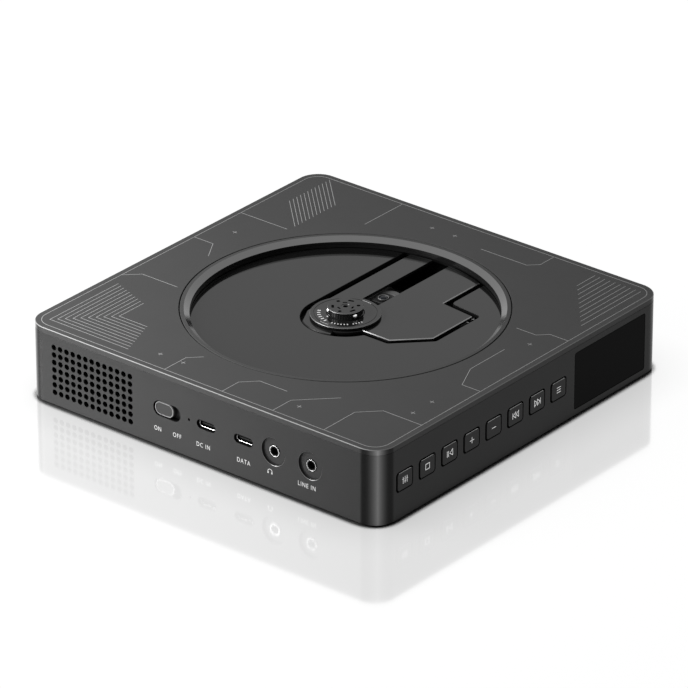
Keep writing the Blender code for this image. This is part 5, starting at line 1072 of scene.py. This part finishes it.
def make_top_print():
    """A plain border, and a loose set of brackets, bars, crosses and hatching."""
    border = 0.0028
    side = 2 * (HALF_SIDE - border)
    mesh = bmesh.new()
    stroke(mesh, rounded_box(side, side, CASE_CORNER - border, 0.0, corner_steps=10), TOP_LINE, closed=True)

    # Nested brackets in the left corner, stepped bars in the right one
    for step in range(10):
        reach = 0.0848 - 0.0022 * step
        arm = 0.0420 - 0.0030 * step
        stroke(mesh, [(-reach, reach - arm), (-reach, reach), (-reach + arm, reach)], TOP_LINE)
    for step in range(10):
        y = -0.0850 + 0.0026 * step
        stroke(mesh, [(0.0860, y), (0.0460 + 0.0031 * step, y)], TOP_LINE)

    # Small crosses scattered over the face, and the long thin lines
    arm = 0.0011
    for across, along in TOP_CROSSES:
        x = across * MILLIMETRE
        y = along * MILLIMETRE
        stroke(mesh, [(x - arm, y), (x + arm, y)], TOP_LINE)
        stroke(mesh, [(x, y - arm), (x, y - TOP_LINE / 2)], TOP_LINE)
        stroke(mesh, [(x, y + TOP_LINE / 2), (x, y + arm)], TOP_LINE)
    for path in TOP_PATHS:
        stroke(mesh, [(x * MILLIMETRE, y * MILLIMETRE) for x, y in path], TOP_LINE)
    print_piece("top_lines", mesh, print_line, TOP_FACE, "case")

    # Hatching in the far corner, by the grid tree
    dash = stroke(bmesh.new(), [(-0.0125, 0.0), (0.0125, 0.0)], TOP_LINE)
    sizes = {"Columns": 12, "Rows": 1, "Pitch": 0.0024, "Row Pitch": 0.0, "Turn": math.radians(45.0)}
    place = TOP_FACE @ Matrix.Translation((0.0660, 0.0720, 0.0))
    hatch = repeat_form("corner_hatch", dash, grid_tree, sizes, print_line, place)
    settle(hatch, "case")


def make_table_print():
    """Three runs of short marks on the platter's face."""
    place = Matrix.Translation((0.0, 0.0, TABLE_TOP + SKIN))
    for run, count, start, share, length, width in (
        (1, 6, 119.0, 0.17, 0.0014, 0.00065),
        (2, 6, 189.0, 0.115, 0.0009, 0.00050),
        (3, 4, 236.0, 0.075, 0.0008, 0.00050),
    ):
        mark = stroke(bmesh.new(), [(-length / 2, 0.0), (length / 2, 0.0)], width)
        sizes = ring_sizes(count, 0.0109, start, share)
        marks = repeat_form(f"platter_marks_{run}", mark, ring_tree, sizes, print_label, place)
        settle(marks, "spindle")


def make_feet_and_screws():
    profile = [
        (0.0030, 0.0003), (0.0035, 0.0001), (0.0048, 0.0000), (0.0056, 0.0001), (0.0060, 0.0005),
        (0.0060, 0.0011),
    ]
    foot = turned(bmesh.new(), profile, 40, ring=False)
    sizes = ring_sizes(4, 0.0710 * math.sqrt(2.0), 45.0)
    feet = repeat_form("rubber_feet", foot, ring_tree, sizes, foot_rubber)
    settle(feet, "case", [f"rubber_foot_{number}" for number in range(1, 5)])

    profile = [
        (0.0018, 0.00075), (0.0021, 0.00085), (0.0023, 0.00110), (0.0023, 0.0015), (0.0010, 0.0015),
        (0.0010, 0.0100),
    ]
    screw = new_object("case_screws", turned(bmesh.new(), profile, 32, ring=False), [screw_steel])
    for width, depth in ((0.0022, 0.0005), (0.0005, 0.0022)):
        slot = loft(bmesh.new(), blocks(width, depth, 0.0001, [(0.0, 0.0), (0.0, 0.0012)], corner_steps=2))
        cut(screw, new_object("cross", slot, [painted_hole_shade]))
    screws = repeat(screw, ring_tree, ring_sizes(4, 0.0825 * math.sqrt(2.0), 45.0), screw_steel)
    settle(screws, "case", [f"case_screw_{number}" for number in range(1, 5)])


make_top_cover()
make_well_ring()
make_well_floor()
make_deck_cover()
make_spindle_pieces()
make_pickup_pieces()
make_housing()
make_window()
make_thumb()
make_port_pieces()
make_keys()
make_labels()
make_top_print()
make_table_print()
make_feet_and_screws()

# Finishes of the CAD forms that stay
NODE_FINISHES = (
    (base_matt, ("bottom_plate", "speaker_frame")),
    (chassis_black, ("mech_chassis",)),
    (damper_rubber, [f"damper_grommet_{number}" for number in range(1, 5)]),
    (motor_steel, ("spindle_motor", "sled_motor", "speaker_magnet")),
    (shaft_steel, ("spindle_shaft", "front_guide_rod", "back_guide_rod", "leadscrew")),
    (gear_nylon, ("leadscrew_gear", "motor_pinion")),
    (sled_black, ("pickup_sled", "actuator_yoke")),
    (board_green, ("main_board", "key_board")),
    (soft_black, ("headphone_jack", "line_in_jack", "power_socket", "data_socket")),
    (soft_black, ("switch_body", "display_module")),
    (paper_cone, ("speaker_cone",)),
    (battery_wrap, ("battery_pack",)),
    (lead_sleeve, ("battery_lead",)),
)
for node_finish, node_names in NODE_FINISHES:
    for node_name in node_names:
        for slot_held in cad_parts[node_name].material_slots:
            slot_held.material = node_finish


# Floor, world and lamps
def seen_directly(graph):
    """Is 1 for what the camera sees, straight or in gloss or glass."""
    path = graph.node("ShaderNodeLightPath")
    seen = Value(graph, path.outputs["Is Camera Ray"])
    seen = seen.most(Value(graph, path.outputs["Is Glossy Ray"]))
    return seen.most(Value(graph, path.outputs["Is Transmission Ray"]))


def make_floor():
    mesh = bmesh.new()
    bmesh.ops.create_grid(mesh, x_segments=2, y_segments=2, size=8.0)
    made, graph, place = start_finish("floor_white")
    rough = graph.noise(place, 3.0) * 0.02 + 0.07
    gloss = {"Base Color": shade(0.035), "Roughness": rough, "IOR": 2.9}
    shader = graph.node("ShaderNodeBsdfPrincipled", None, gloss)
    # Ambient occlusion darkens the floor's glow under and round the object: a painted shadow
    contact_shadow = graph.value("ShaderNodeAmbientOcclusion", {"samples": 16}, {"Distance": 0.0056}, "AO")
    near_shadow = graph.value("ShaderNodeAmbientOcclusion", {"samples": 16}, {"Distance": 0.0250}, "AO")
    lit = contact_shadow.step(0.60, 0.76) * (near_shadow.step(0.5, 1.0) * 0.18 + 0.82)
    lift = graph.node("ShaderNodeEmission", None, {"Color": graph.mix(lit, 0.0, 1.0), "Strength": 0.71})
    both = graph.node("ShaderNodeAddShader", None, {0: shader.outputs[0], 1: lift.outputs[0]})
    graph.node("ShaderNodeOutputMaterial", None, {"Surface": both.outputs[0]})
    new_object("studio_floor", mesh, [made])


def make_world():
    world = bpy.data.worlds.new("studio")
    scene.world = world
    world.use_nodes = True
    graph = Graph(world.node_tree)
    strength = seen_directly(graph) * 0.5 + 0.5
    background = graph.node("ShaderNodeBackground", None, {"Color": shade(1.0), "Strength": strength})
    graph.node("ShaderNodeOutputWorld", None, {"Surface": background.outputs[0]})


def lamp(name, place, target, width, height, energy):
    data = bpy.data.lights.new(name, "AREA")
    data.shape = "RECTANGLE"
    data.size = width
    data.size_y = height
    data.energy = energy
    made = bpy.data.objects.new(name, data)
    made.location = place
    made.rotation_euler = (Vector(target) - Vector(place)).to_track_quat("-Z", "Y").to_euler()
    made.visible_camera = False
    scene.collection.objects.link(made)


make_floor()
make_world()
lamp("key_lamp", (-0.28, 0.27, 0.22), (-0.02, 0.0, 0.02), 0.26, 0.26, 5.1)
